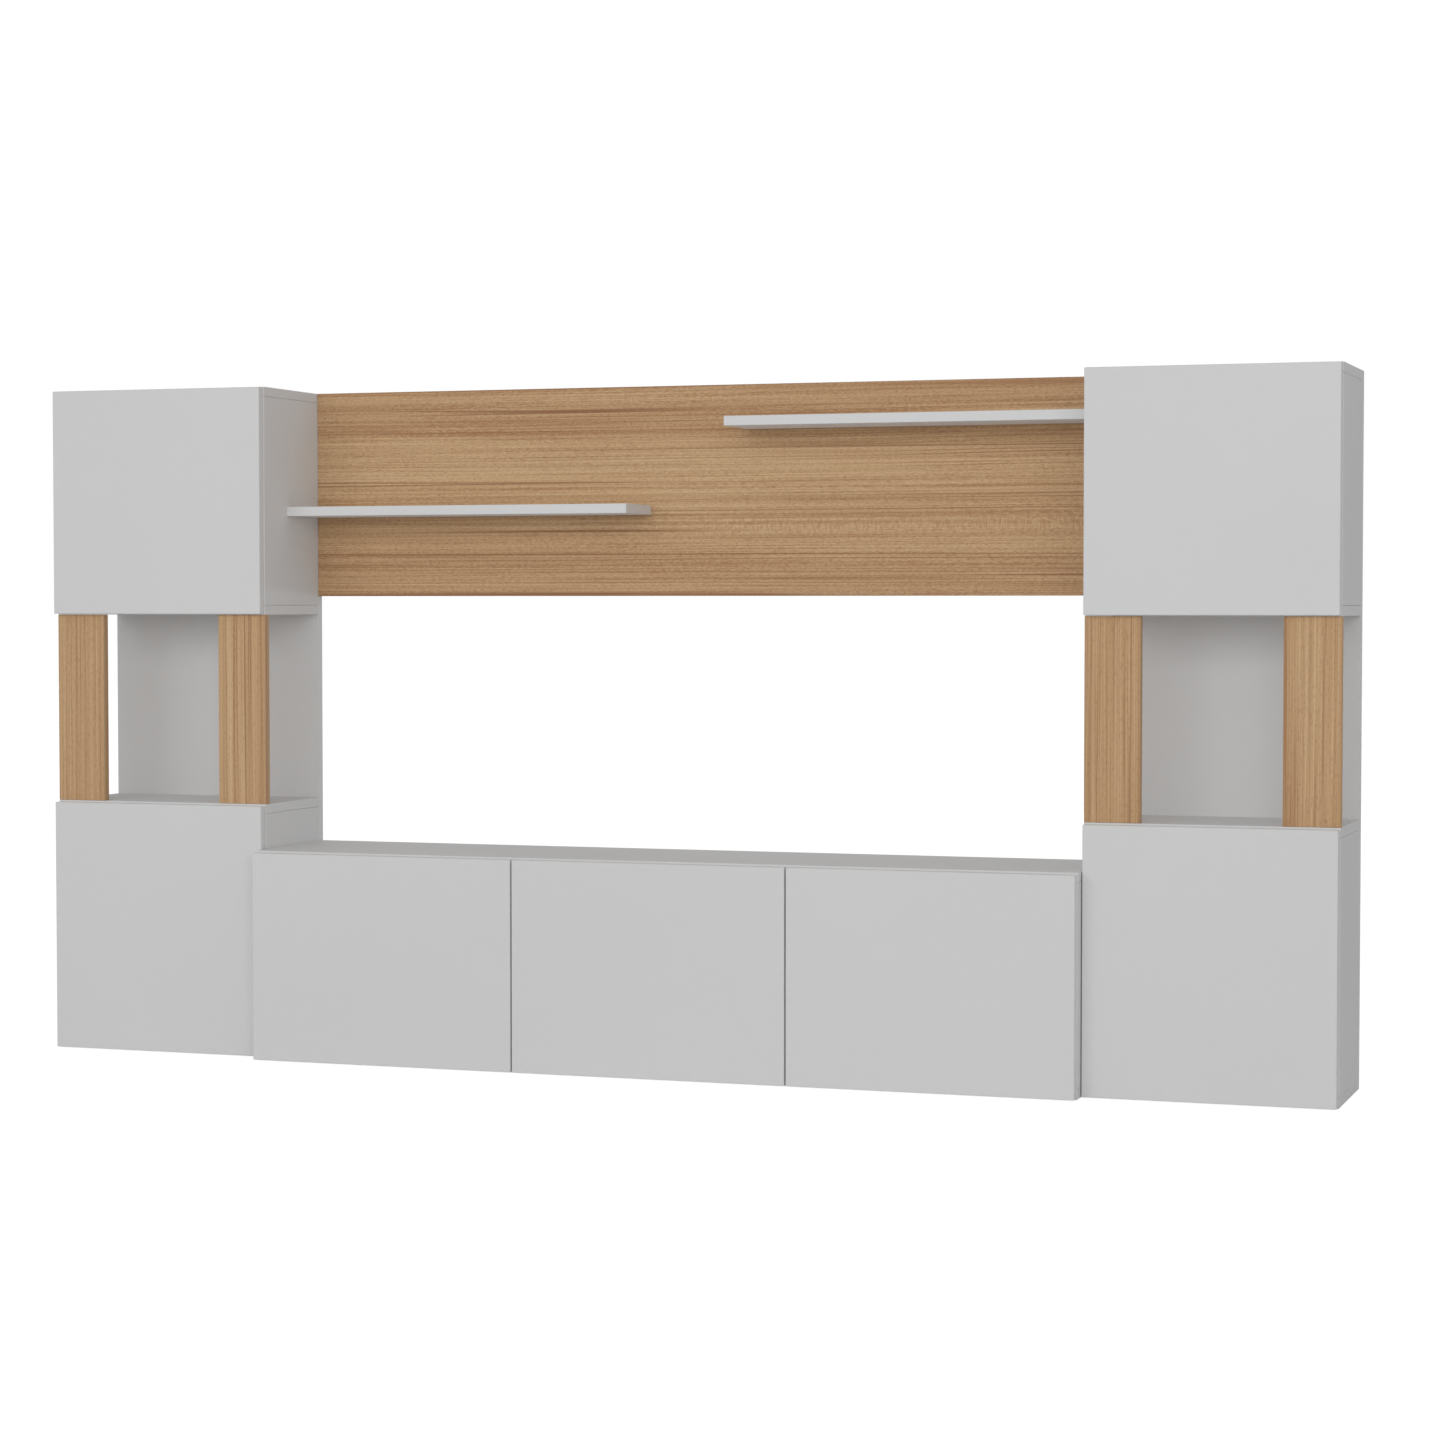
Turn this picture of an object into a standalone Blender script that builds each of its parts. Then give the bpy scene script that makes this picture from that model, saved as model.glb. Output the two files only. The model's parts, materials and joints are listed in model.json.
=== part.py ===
"""TV unit that fills a living-room wall.

Two towers stand at the ends of a low TV cabinet. Each tower has a lower cabinet, an open niche with
two oak posts, and an upper cabinet, all on one full-height back panel. An oak wall panel with two
floating shelves hangs between the towers.

Metres, +Z up. X runs along the wall and the fronts face -Y. The origin is on the floor, in the middle
of the unit's footprint.
"""

import math

import bmesh
import bpy
from mathutils import Matrix, Vector

# Boards and the gaps between them
BOARD = 0.018
DOOR_BOARD = 0.018
BACK_BOARD = 0.018
PANEL_BOARD = 0.018
SHELF_BOARD = 0.018
HARDBOARD = 0.003
SEAT_GAP = 0.0003
EDGE_ROUND = 0.0006

# TV cabinet
TV_WIDTH = 1.600
TV_HEIGHT = 0.400
TV_CARCASS_DEPTH = 0.294
GROOVE_DEPTH = 0.007
GROOVE_INSET = 0.010

# Towers: the depth counts the back panel and leaves the doors out
TOWER_WIDTH = 0.450
TOWER_DEPTH = 0.250
LOWER_HEIGHT = 0.486
NICHE_HEIGHT = 0.364
UPPER_HEIGHT = 0.436
POST_WIDTH = 0.100
POST_BOARD = 0.018

# Wall panel and its shelves: the drops run from the panel's top edge to a shelf's upper face
PANEL_HEIGHT = 0.400
SHELF_LENGTH = 0.7035
SHELF_DEPTH = 0.137
LEFT_SHELF_DROP = 0.227
RIGHT_SHELF_DROP = 0.067

# Doors: a reveal is the strip of carcass that a door leaves uncovered at an edge
DOOR_REVEAL = 0.0015
TOP_REVEAL = 0.0033
DOOR_SPACING = 0.003

# Concealed hinges: the inset runs from a door's end to a cup's centre, and the setback and the
# flange's offset from the door's hinge edge and from the cup's centre towards the door's middle
HINGE_INSET = 0.090
CUP_RADIUS = 0.0165
CUP_DEPTH = 0.0115
CUP_SETBACK = 0.0225
CUP_PIN_OFFSET = 0.009
CUP_PIN_DEPTH = 0.005
PIN_RADIUS = 0.0011
FLANGE_RISE = 0.0012
FLANGE_WIDTH = 0.0160
FLANGE_HEIGHT = 0.056
FLANGE_CORNER = 0.004
FLANGE_OFFSET = 0.0055
FLANGE_CLEARANCE = 0.002

# Hinge arm, a channel of sheet steel: offsets run from the side panel's face, reaches from the
# carcass front
ARM_HEIGHT = 0.013
ARM_SHEET = 0.0015
ARM_REAR_REACH = 0.068
ARM_HEEL_OFFSET = 0.007
ARM_SHOULDER_REACH = 0.022
ARM_SHOULDER_OFFSET = 0.013
ARM_TIP_DEPTH = 0.006
ARM_TIP_OFFSET = 0.015
ARM_TIP_THICKNESS = 0.005
ARM_THROAT_REACH = 0.004
PLATE_THICKNESS = 0.003
PLATE_FRONT_REACH = 0.014
WING_REACH = 0.037
WING_WIDTH = 0.013
WING_HEIGHT = 0.050
SLOT_REACH = 0.054
SLOT_LENGTH = 0.011
SLOT_WIDTH = 0.005
SCREW_REACH = 0.031
SCREW_RADIUS = 0.0030

# Push latch: a plunger in a bore in the front edge of each cabinet's top
PLUNGER_RADIUS = 0.004
PLUNGER_LENGTH = 0.030
PLUNGER_DOME = 0.0012
LATCH_INSET = 0.045

# How far cutters run past the faces they cut, and how close loose curve caps are welded
OVERRUN = 0.002
WELD = 0.00001

ROUND_FACETS = 32
PLUNGER_FACETS = 20
PIN_FACETS = 12
CORNER_FACETS = 4
SHARP_ANGLE = math.radians(40)

TV_FRONT_DEPTH = TV_CARCASS_DEPTH + SEAT_GAP + DOOR_BOARD
WALL_Y = TV_FRONT_DEPTH / 2
TOWER_HEIGHT = LOWER_HEIGHT + NICHE_HEIGHT + UPPER_HEIGHT

PAINTS = {
    "white": ((0.79, 0.79, 0.79), 0.45, 0.0),
    "oak": ((0.45, 0.27, 0.14), 0.50, 0.0),
    "hardboard": ((0.62, 0.60, 0.56), 0.80, 0.0),
    "steel": ((0.62, 0.62, 0.60), 0.30, 1.0),
    "plastic": ((0.35, 0.35, 0.35), 0.50, 0.0),
}


def clear_scene():
    """Remove what the file holds before the unit is built."""
    for item in list(bpy.data.objects):
        bpy.data.objects.remove(item, do_unlink=True)


def make_collection(name):
    """A new collection in the scene."""
    collection = bpy.data.collections.new(name)
    bpy.context.scene.collection.children.link(collection)
    return collection


def make_paint(name):
    """A Principled material from the table of paints."""
    colour, roughness, metallic = PAINTS[name]
    paint = bpy.data.materials.new(name)
    paint.use_nodes = True
    shader = paint.node_tree.nodes["Principled BSDF"]
    shader.inputs["Base Color"].default_value = (*colour, 1)
    shader.inputs["Roughness"].default_value = roughness
    shader.inputs["Metallic"].default_value = metallic
    paint.diffuse_color = (*colour, 1)
    return paint


clear_scene()
unit = make_collection("tv_unit")
cutters = make_collection("cutters")
paints = {name: make_paint(name) for name in PAINTS}


def add_piece(name, mesh, paint, origin):
    """Put a mesh in the unit as a named piece."""
    piece = bpy.data.objects.new(name, mesh)
    piece.location = origin
    piece.data.materials.clear()
    piece.data.materials.append(paints[paint])
    unit.objects.link(piece)
    return piece


def add_cutter(name, mesh, place):
    """Put a mesh among the cutters, where it shows as wire and isn't rendered."""
    cutter = bpy.data.objects.new(name, mesh)
    cutter.matrix_world = place
    cutter.display_type = "WIRE"
    cutter.hide_render = True
    cutters.objects.link(cutter)
    return cutter


def combine(piece, other, operation):
    """Cut or join one object with another."""
    step = piece.modifiers.new(other.name, "BOOLEAN")
    step.operation = operation
    step.solver = "EXACT"
    step.object = other


def combine_and_carry(piece, other, operation):
    """Cut or join a moving piece with another object, which then moves along with it."""
    other.parent = piece
    other.matrix_parent_inverse = piece.matrix_basis.inverted()
    combine(piece, other, operation)


def box_mesh(name, low, high, origin):
    """The box from low to high, as a mesh about an origin."""
    low = Vector(low)
    high = Vector(high)
    centre = (low + high) / 2 - Vector(origin)
    mesh = bpy.data.meshes.new(name)
    bm = bmesh.new()
    place = Matrix.Translation(centre) @ Matrix.Diagonal((*(high - low), 1))
    bmesh.ops.create_cube(bm, size=1, matrix=place)
    bm.to_mesh(mesh)
    bm.free()
    return mesh


def cylinder_mesh(name, radius, length, facets):
    """A cylinder about Z, centred."""
    mesh = bpy.data.meshes.new(name)
    bm = bmesh.new()
    bmesh.ops.create_cone(bm, cap_ends=True, segments=facets, radius1=radius, radius2=radius, depth=length)
    bm.to_mesh(mesh)
    bm.free()
    return mesh


def outline_mesh(name, points, thickness):
    """A closed outline in the XY plane, thickened evenly to both sides."""
    curve = bpy.data.curves.new(name, "CURVE")
    curve.dimensions = "2D"
    curve.fill_mode = "BOTH"
    curve.extrude = thickness / 2
    line = curve.splines.new("POLY")
    line.points.add(len(points) - 1)
    for place, (x, y) in zip(line.points, points):
        place.co = (x, y, 0, 1)
    line.use_cyclic_u = True
    source = bpy.data.objects.new(name, curve)
    mesh = evaluated_mesh(source)
    bpy.data.objects.remove(source)
    bpy.data.curves.remove(curve)
    bm = bmesh.new()
    bm.from_mesh(mesh)
    bmesh.ops.remove_doubles(bm, verts=bm.verts, dist=WELD)
    bmesh.ops.recalc_face_normals(bm, faces=bm.faces)
    bm.to_mesh(mesh)
    bm.free()
    return mesh


def evaluated_mesh(source):
    """The mesh of an object with its modifiers applied."""
    if source.name not in bpy.context.scene.objects:
        bpy.context.scene.collection.objects.link(source)
    bpy.context.view_layer.update()
    depsgraph = bpy.context.evaluated_depsgraph_get()
    return bpy.data.meshes.new_from_object(source.evaluated_get(depsgraph))


def shade_by_angle(mesh):
    """Shade a mesh smooth, with its sharper edges kept sharp."""
    mesh.shade_smooth()
    mesh.set_sharp_from_angle(angle=SHARP_ANGLE)


def rounded_outline(width, height, corner):
    """The outline of a rectangle with round corners, centred, counter-clockwise."""
    points = []
    for quarter, (side_x, side_y) in enumerate(((1, 1), (-1, 1), (-1, -1), (1, -1))):
        centre_x = side_x * (width / 2 - corner)
        centre_y = side_y * (height / 2 - corner)
        for step in range(CORNER_FACETS + 1):
            angle = math.pi / 2 * (quarter + step / CORNER_FACETS)
            points.append((centre_x + corner * math.cos(angle), centre_y + corner * math.sin(angle)))
    return points


def board(name, low, high, paint, origin=None):
    """A board that fills the box from low to high, with its edges rounded."""
    if origin is None:
        origin = (Vector(low) + Vector(high)) / 2
    piece = add_piece(name, box_mesh(name, low, high, origin), paint, origin)
    edge = piece.modifiers.new("edge", "BEVEL")
    edge.width = EDGE_ROUND
    edge.segments = 1
    return piece


def sides_of(a, b):
    """Two values in rising order."""
    return min(a, b), max(a, b)


def hinge_arm_mesh():
    """A hinge arm on its mounting plate.

    X runs off the side panel's face, Y runs back from the carcass front, and Z is up. The arm is a
    channel, open towards the panel. It drops towards its heel at the rear, and at the front its tip
    reaches forward into the cup and holds a cross pin.
    """
    tip_inside = ARM_TIP_OFFSET - ARM_TIP_THICKNESS
    outline = [
        (SEAT_GAP, ARM_REAR_REACH),
        (SEAT_GAP, PLATE_FRONT_REACH),
        (PLATE_THICKNESS, PLATE_FRONT_REACH),
        (tip_inside, ARM_THROAT_REACH),
        (tip_inside, -ARM_TIP_DEPTH),
        (ARM_TIP_OFFSET, -ARM_TIP_DEPTH),
        (ARM_TIP_OFFSET, ARM_THROAT_REACH),
        (ARM_SHOULDER_OFFSET, ARM_SHOULDER_REACH),
        (ARM_HEEL_OFFSET, ARM_REAR_REACH),
    ]
    hollow = [
        (PLATE_THICKNESS, ARM_REAR_REACH + OVERRUN),
        (PLATE_THICKNESS, -ARM_TIP_DEPTH - OVERRUN),
        (ARM_TIP_OFFSET - ARM_SHEET, -ARM_TIP_DEPTH - OVERRUN),
        (ARM_TIP_OFFSET - ARM_SHEET, ARM_THROAT_REACH),
        (ARM_SHOULDER_OFFSET - ARM_SHEET, ARM_SHOULDER_REACH),
        (ARM_HEEL_OFFSET - ARM_SHEET, ARM_REAR_REACH),
        (ARM_HEEL_OFFSET - ARM_SHEET, ARM_REAR_REACH + OVERRUN),
    ]
    off_panel = Matrix.Rotation(math.pi / 2, 4, "Y")
    arm = bpy.data.objects.new("arm", outline_mesh("arm", outline, ARM_HEIGHT))

    channel = outline_mesh("channel", hollow, ARM_HEIGHT - 2 * ARM_SHEET)
    combine(arm, add_cutter("channel", channel, Matrix.Identity(4)), "DIFFERENCE")

    wing_outline = rounded_outline(WING_HEIGHT, WING_WIDTH, WING_WIDTH / 2)
    wings = outline_mesh("wings", wing_outline, PLATE_THICKNESS - SEAT_GAP)
    wings_place = Matrix.Translation(((PLATE_THICKNESS + SEAT_GAP) / 2, WING_REACH, 0)) @ off_panel
    combine(arm, add_cutter("wings", wings, wings_place), "UNION")

    # The two holes in the channel's roof stop short of the plate
    roof_cut = 2 * (ARM_SHOULDER_OFFSET - PLATE_THICKNESS) - OVERRUN
    slot_outline = rounded_outline(SLOT_WIDTH, SLOT_LENGTH, SLOT_WIDTH / 2)
    slot = outline_mesh("slot", slot_outline, roof_cut)
    slot_place = Matrix.Translation((ARM_SHOULDER_OFFSET, SLOT_REACH, 0)) @ off_panel
    combine(arm, add_cutter("slot", slot, slot_place), "DIFFERENCE")
    screw_hole = cylinder_mesh("screw_hole", SCREW_RADIUS, roof_cut, ROUND_FACETS)
    screw_place = Matrix.Translation((ARM_SHOULDER_OFFSET, SCREW_REACH, 0)) @ off_panel
    combine(arm, add_cutter("screw_hole", screw_hole, screw_place), "DIFFERENCE")

    pin = cylinder_mesh("arm_pin", PIN_RADIUS, ARM_HEIGHT - ARM_SHEET, PIN_FACETS)
    pin_place = Matrix.Translation((tip_inside + ARM_TIP_THICKNESS / 2, -ARM_TIP_DEPTH / 2, 0))
    combine(arm, add_cutter("arm_pin", pin, pin_place), "UNION")
    mesh = evaluated_mesh(arm)
    bpy.data.objects.remove(arm)
    mesh.name = "hinge_arm"
    shade_by_angle(mesh)
    return mesh


def plunger_mesh():
    """A turned plunger about Z, with its domed tip at the origin and its body below."""
    profile = []
    for step in range(CORNER_FACETS + 1):
        angle = math.pi / 2 * step / CORNER_FACETS
        profile.append((PLUNGER_RADIUS * math.sin(angle), 0, PLUNGER_DOME * (math.cos(angle) - 1)))
    profile.append((PLUNGER_RADIUS, 0, -PLUNGER_LENGTH))
    profile.append((0, 0, -PLUNGER_LENGTH))
    mesh = bpy.data.meshes.new("plunger_profile")
    mesh.from_pydata(profile, [(i, i + 1) for i in range(len(profile) - 1)], [])
    source = bpy.data.objects.new("plunger_profile", mesh)
    turn = source.modifiers.new("turn", "SCREW")
    turn.steps = PLUNGER_FACETS
    turn.render_steps = PLUNGER_FACETS
    turn.use_merge_vertices = True
    turn.merge_threshold = WELD
    turned = evaluated_mesh(source)
    bpy.data.objects.remove(source)
    turned.name = "latch_plunger"
    shade_by_angle(turned)
    return turned


arm_shape = hinge_arm_mesh()
plunger_shape = plunger_mesh()
flange_outline = rounded_outline(FLANGE_WIDTH, FLANGE_HEIGHT, FLANGE_CORNER)
flange_shape = outline_mesh("flange", flange_outline, 2 * FLANGE_RISE)
shade_by_angle(flange_shape)
cup_length = CUP_DEPTH + FLANGE_RISE + OVERRUN
cup_shape = cylinder_mesh("cup", CUP_RADIUS, cup_length, ROUND_FACETS)
cup_pin_shape = cylinder_mesh("cup_pin", PIN_RADIUS, 2 * CUP_RADIUS, PIN_FACETS)
bore_length = PLUNGER_LENGTH + SEAT_GAP + OVERRUN
bore_shape = cylinder_mesh("bore", PLUNGER_RADIUS + SEAT_GAP, bore_length, ROUND_FACETS)

ACROSS = Matrix.Rotation(math.pi / 2, 4, "X")


def add_cups(door, panel_face, hinge_edge, inward, rear, levels):
    """Two hinge cups in a door's rear face, each a flange, a round hollow and a cross pin.

    inward is +1 or -1, the way along X from the hinge edge towards the door's middle. The flange
    stays clear of the side panel's front edge.
    """
    flange_from_edge = max(
        CUP_SETBACK + FLANGE_OFFSET,
        abs(panel_face - hinge_edge) + FLANGE_CLEARANCE + FLANGE_WIDTH / 2,
    )
    flange_x = hinge_edge + inward * flange_from_edge
    cup_x = hinge_edge + inward * CUP_SETBACK
    cup_y = rear - CUP_DEPTH + cup_length / 2
    pin_x = cup_x - inward * CUP_PIN_OFFSET
    for number, level in enumerate(levels):
        name = f"{door.name}_cup_{number}"
        flange_place = Matrix.Translation((flange_x, rear, level)) @ ACROSS
        combine_and_carry(door, add_cutter(f"{name}_flange", flange_shape, flange_place), "UNION")
        hollow_place = Matrix.Translation((cup_x, cup_y, level)) @ ACROSS
        combine_and_carry(door, add_cutter(name, cup_shape, hollow_place), "DIFFERENCE")
        pin_place = Matrix.Translation((pin_x, rear - CUP_PIN_DEPTH, level))
        combine_and_carry(door, add_cutter(f"{name}_pin", cup_pin_shape, pin_place), "UNION")


def add_arms(name, panel_face, inward, front, levels):
    """Two hinge arms on a side panel's inner face, level with the door's cups."""
    for end, level in zip(("bottom", "top"), levels):
        arm = add_piece(f"{name}_{end}_hinge_arm", arm_shape, "steel", (panel_face, front, level))
        if inward < 0:
            arm.rotation_euler.y = math.pi


def add_latch(name, top, latch_x, front):
    """A push latch's plunger, and the bore that holds it in the top's front edge."""
    level = top.location.z
    bore_y = front - OVERRUN + bore_length / 2
    bore_place = Matrix.Translation((latch_x, bore_y, level)) @ ACROSS
    combine(top, add_cutter(f"{name}_latch_bore", bore_shape, bore_place), "DIFFERENCE")
    plunger = add_piece(f"{name}_latch_plunger", plunger_shape, "plastic", (latch_x, front, level))
    plunger.rotation_euler.x = math.pi / 2


def hang_door(name, x_range, z_range, front, panel_face, inward, top):
    """A door with its hinges and latch.

    The door's origin is on its joint's axis, the upright line at its front outer corner on the hinge
    side. inward is +1 where the hinges are on the left and -1 where they are on the right.
    """
    rear = front - SEAT_GAP
    hinge_edge, free_edge = x_range if inward > 0 else reversed(x_range)
    axis = (hinge_edge, rear - DOOR_BOARD, sum(z_range) / 2)
    low = (x_range[0], rear - DOOR_BOARD, z_range[0])
    high = (x_range[1], rear, z_range[1])
    door = board(f"{name}_door", low, high, "white", axis)
    levels = (z_range[0] + HINGE_INSET, z_range[1] - HINGE_INSET)
    add_cups(door, panel_face, hinge_edge, inward, rear, levels)
    add_arms(name, panel_face, inward, front, levels)
    add_latch(name, top, free_edge - inward * LATCH_INSET, front)


def add_carcass(name, side_names, x_range, z_range, front, rear):
    """A cabinet's boards: the bottom and the top run through, and the two sides stand between them."""
    left, right = x_range
    floor, roof = z_range
    boards = {
        "bottom": board(f"{name}_bottom", (left, front, floor), (right, rear, floor + BOARD), "white"),
        "top": board(f"{name}_top", (left, front, roof - BOARD), (right, rear, roof), "white"),
    }
    side_low = floor + BOARD + SEAT_GAP
    side_high = roof - BOARD - SEAT_GAP
    for side_name, edge in zip(side_names, (left, right - BOARD)):
        low = (edge, front, side_low)
        high = (edge + BOARD, rear, side_high)
        boards[side_name] = board(f"{name}_{side_name}", low, high, "white")
    return boards


def add_tower_cabinet(name, side, x_range, z_range, top_reveal):
    """One of a tower's two cabinets, with a door hinged on the tower's outer side."""
    front = WALL_Y - TOWER_DEPTH
    rear = WALL_Y - BACK_BOARD - SEAT_GAP
    side_names = ("outer_side", "inner_side") if side < 0 else ("inner_side", "outer_side")
    boards = add_carcass(name, side_names, x_range, z_range, front, rear)
    door_x = (x_range[0] + DOOR_REVEAL, x_range[1] - DOOR_REVEAL)
    door_z = (z_range[0] + DOOR_REVEAL, z_range[1] - top_reveal)
    outer_face = x_range[0] + BOARD if side < 0 else x_range[1] - BOARD
    hang_door(name, door_x, door_z, front, outer_face, -side, boards["top"])


def add_tower(name, side):
    """A tower at the left (side -1) or the right (side +1) end of the TV cabinet."""
    inner = side * (TV_WIDTH / 2 + SEAT_GAP)
    outer = inner + side * TOWER_WIDTH
    x_range = sides_of(inner, outer)
    back_front = WALL_Y - BACK_BOARD
    board(f"{name}_back", (x_range[0], back_front, 0), (x_range[1], WALL_Y, TOWER_HEIGHT), "white")
    niche_top = LOWER_HEIGHT + NICHE_HEIGHT
    add_tower_cabinet(f"{name}_lower", side, x_range, (0, LOWER_HEIGHT), TOP_REVEAL)
    add_tower_cabinet(f"{name}_upper", side, x_range, (niche_top, TOWER_HEIGHT), DOOR_REVEAL)
    post_front = WALL_Y - TOWER_DEPTH
    for post_name, start in (("inner", inner), ("outer", outer - side * POST_WIDTH)):
        left, right = sides_of(start, start + side * POST_WIDTH)
        low = (left, post_front, LOWER_HEIGHT + SEAT_GAP)
        high = (right, post_front + POST_BOARD, niche_top - SEAT_GAP)
        board(f"{name}_{post_name}_post", low, high, "oak")


def add_tv_cabinet(name):
    """The low cabinet: three bays with a door each, and a hardboard back held in grooves."""
    left = -TV_WIDTH / 2
    right = TV_WIDTH / 2
    front = WALL_Y - TV_CARCASS_DEPTH
    side_names = ("left_side", "right_side")
    boards = add_carcass(name, side_names, (left, right), (0, TV_HEIGHT), front, WALL_Y)

    back_rear = WALL_Y - GROOVE_INSET
    back_front = back_rear - HARDBOARD
    into_groove = BOARD - GROOVE_DEPTH
    back_low = Vector((left + into_groove, back_front, into_groove))
    back_high = Vector((right - into_groove, back_rear, TV_HEIGHT - into_groove))
    slack = Vector((SEAT_GAP, 0, SEAT_GAP))
    back_middle = (back_low + back_high) / 2
    back_mesh = box_mesh("back", back_low + slack, back_high - slack, back_middle)
    add_piece(f"{name}_back", back_mesh, "hardboard", back_middle)
    groove_slack = Vector((0, SEAT_GAP, 0))
    groove_mesh = box_mesh("groove", back_low - groove_slack, back_high + groove_slack, back_middle)
    groove = add_cutter("back_groove", groove_mesh, Matrix.Translation(back_middle))
    for grooved in boards.values():
        combine(grooved, groove, "DIFFERENCE")

    bay = TV_WIDTH / 3
    divider_rear = back_front - SEAT_GAP
    side_low = BOARD + SEAT_GAP
    side_high = TV_HEIGHT - BOARD - SEAT_GAP
    for side_name, middle in (("left_divider", left + bay), ("right_divider", right - bay)):
        low = (middle - BOARD / 2, front, side_low)
        high = (middle + BOARD / 2, divider_rear, side_high)
        board(f"{name}_{side_name}", low, high, "white")

    door_z = (DOOR_REVEAL, TV_HEIGHT - TOP_REVEAL)
    half_gap = DOOR_SPACING / 2
    left_x = (left + DOOR_REVEAL, left + bay - half_gap)
    centre_x = (left + bay + half_gap, right - bay - half_gap)
    right_x = (right - bay + half_gap, right - DOOR_REVEAL)
    divider_face = left + bay + BOARD / 2
    top = boards["top"]
    hang_door(f"{name}_left", left_x, door_z, front, left + BOARD, 1, top)
    hang_door(f"{name}_centre", centre_x, door_z, front, divider_face, 1, top)
    hang_door(f"{name}_right", right_x, door_z, front, right - BOARD, -1, top)


def add_wall_panel():
    """The oak panel between the towers, level with their tops, and its two shelves."""
    left = -TV_WIDTH / 2
    right = TV_WIDTH / 2
    panel_front = WALL_Y - PANEL_BOARD
    panel_low = (left, panel_front, TOWER_HEIGHT - PANEL_HEIGHT)
    board("wall_panel", panel_low, (right, WALL_Y, TOWER_HEIGHT), "oak")
    shelf_rear = panel_front - SEAT_GAP
    shelf_front = panel_front - SHELF_DEPTH
    for name, start, drop in (
        ("left_shelf", left, LEFT_SHELF_DROP),
        ("right_shelf", right - SHELF_LENGTH, RIGHT_SHELF_DROP),
    ):
        shelf_top = TOWER_HEIGHT - drop
        low = (start, shelf_front, shelf_top - SHELF_BOARD)
        board(name, low, (start + SHELF_LENGTH, shelf_rear, shelf_top), "white")


add_tower("left_tower", -1)
add_tower("right_tower", 1)
add_tv_cabinet("tv_cabinet")
add_wall_panel()
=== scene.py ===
# %% [markdown]
# # A wall-wide TV unit
# Two white towers stand at the ends of a low white cabinet with three doors. An oak panel with two
# white shelves hangs between them. Every board is already there as a solid from the CAD model, at its
# true size and place. What is left to make is what the eye reads as real: the satin white boards with
# their edge bands, the oak grain, the steel and plastic fittings behind the doors, and plain soft light.
#
# The solids come in first, and nothing moves them. Lengths are metres, X runs along the wall, the doors
# face -Y, and Z is up.

# %% Load the solids
import json
import math

import bpy
import numpy as np
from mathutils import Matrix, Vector


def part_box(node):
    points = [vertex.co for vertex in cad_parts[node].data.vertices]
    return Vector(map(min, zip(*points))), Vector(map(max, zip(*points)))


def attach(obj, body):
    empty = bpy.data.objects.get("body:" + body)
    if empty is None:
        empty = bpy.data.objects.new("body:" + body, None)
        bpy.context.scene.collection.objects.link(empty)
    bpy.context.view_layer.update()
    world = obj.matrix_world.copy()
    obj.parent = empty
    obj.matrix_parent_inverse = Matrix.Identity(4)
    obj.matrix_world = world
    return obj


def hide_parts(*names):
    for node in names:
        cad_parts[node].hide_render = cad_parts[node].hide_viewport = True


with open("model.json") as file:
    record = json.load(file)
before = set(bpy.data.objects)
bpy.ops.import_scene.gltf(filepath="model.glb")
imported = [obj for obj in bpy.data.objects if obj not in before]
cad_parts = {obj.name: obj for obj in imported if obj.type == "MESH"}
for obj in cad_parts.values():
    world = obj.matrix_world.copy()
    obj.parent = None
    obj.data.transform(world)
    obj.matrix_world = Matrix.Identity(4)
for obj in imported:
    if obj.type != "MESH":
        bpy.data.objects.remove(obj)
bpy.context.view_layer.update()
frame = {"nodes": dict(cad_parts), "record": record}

solids = frame["nodes"]


# %% [markdown]
# ## Camera
# The photograph was taken from the right of the unit, a little above the middle of the towers, with a
# long lens from about six metres. Its place and turn were found by fitting some fifty straight edges of
# the unit. A long lens keeps the far tower almost as tall as the near one, so it matters as much as the
# place. The focal length is given in pixels of the photograph and turned into millimetres on Blender's
# sensor.

# %% Camera
PHOTO_WIDTH = 1445
FOCAL_PIXELS = 3283.926
SENSOR_WIDTH = 36
CAMERA_PLACE = (2.068732, -5.770396, 0.873859)
DEGREES_DOWN = 2.097
DEGREES_LEFT = 18.885
SIGHT_ENDS = 60
camera_data = bpy.data.cameras.new("photo_camera")
camera_data.sensor_width = SENSOR_WIDTH
camera_data.lens = FOCAL_PIXELS / PHOTO_WIDTH * camera_data.sensor_width
camera_data.clip_end = SIGHT_ENDS
camera = bpy.data.objects.new("photo_camera", camera_data)
camera.location = CAMERA_PLACE
camera.rotation_euler = (math.radians(90 - DEGREES_DOWN), 0, math.radians(DEGREES_LEFT))
bpy.context.scene.collection.objects.link(camera)
bpy.context.scene.camera = camera
print("lens", round(camera_data.lens, 2), "mm")

# %% [markdown]
# ## Shader helpers
# A material is a small network of nodes. A few short helpers keep the networks readable: one gives an
# input its value or link, one adds a node, and the others are the nodes that every finish needs, such as
# a sum, a smooth step and noise. Noise is counted in cycles per metre, because that is how a maker
# measures a texture.

# %% Shader helpers
def give(tree, socket, value):
    """Sets an input to a plain value, or links it to the output that feeds it."""
    if isinstance(value, bpy.types.NodeSocket):
        tree.links.new(value, socket)
    else:
        socket.default_value = value


def feed(tree, sockets, **values):
    """Gives named inputs their values or links. A name has its spaces written as underscores."""
    for name, value in values.items():
        give(tree, sockets[name.replace("_", " ")], value)


def add_node(tree, kind, inputs=None, **settings):
    """A node with its settings. An input is a plain value, or the output that feeds it."""
    made = tree.nodes.new(kind)
    for name, value in settings.items():
        setattr(made, name, value)
    for name, value in (inputs or {}).items():
        give(tree, made.inputs[name], value)
    return made


def calc(tree, operation, *values):
    """The result of a Math node on two or three numbers."""
    return add_node(tree, "ShaderNodeMath", dict(enumerate(values)), operation=operation).outputs[0]


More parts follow.
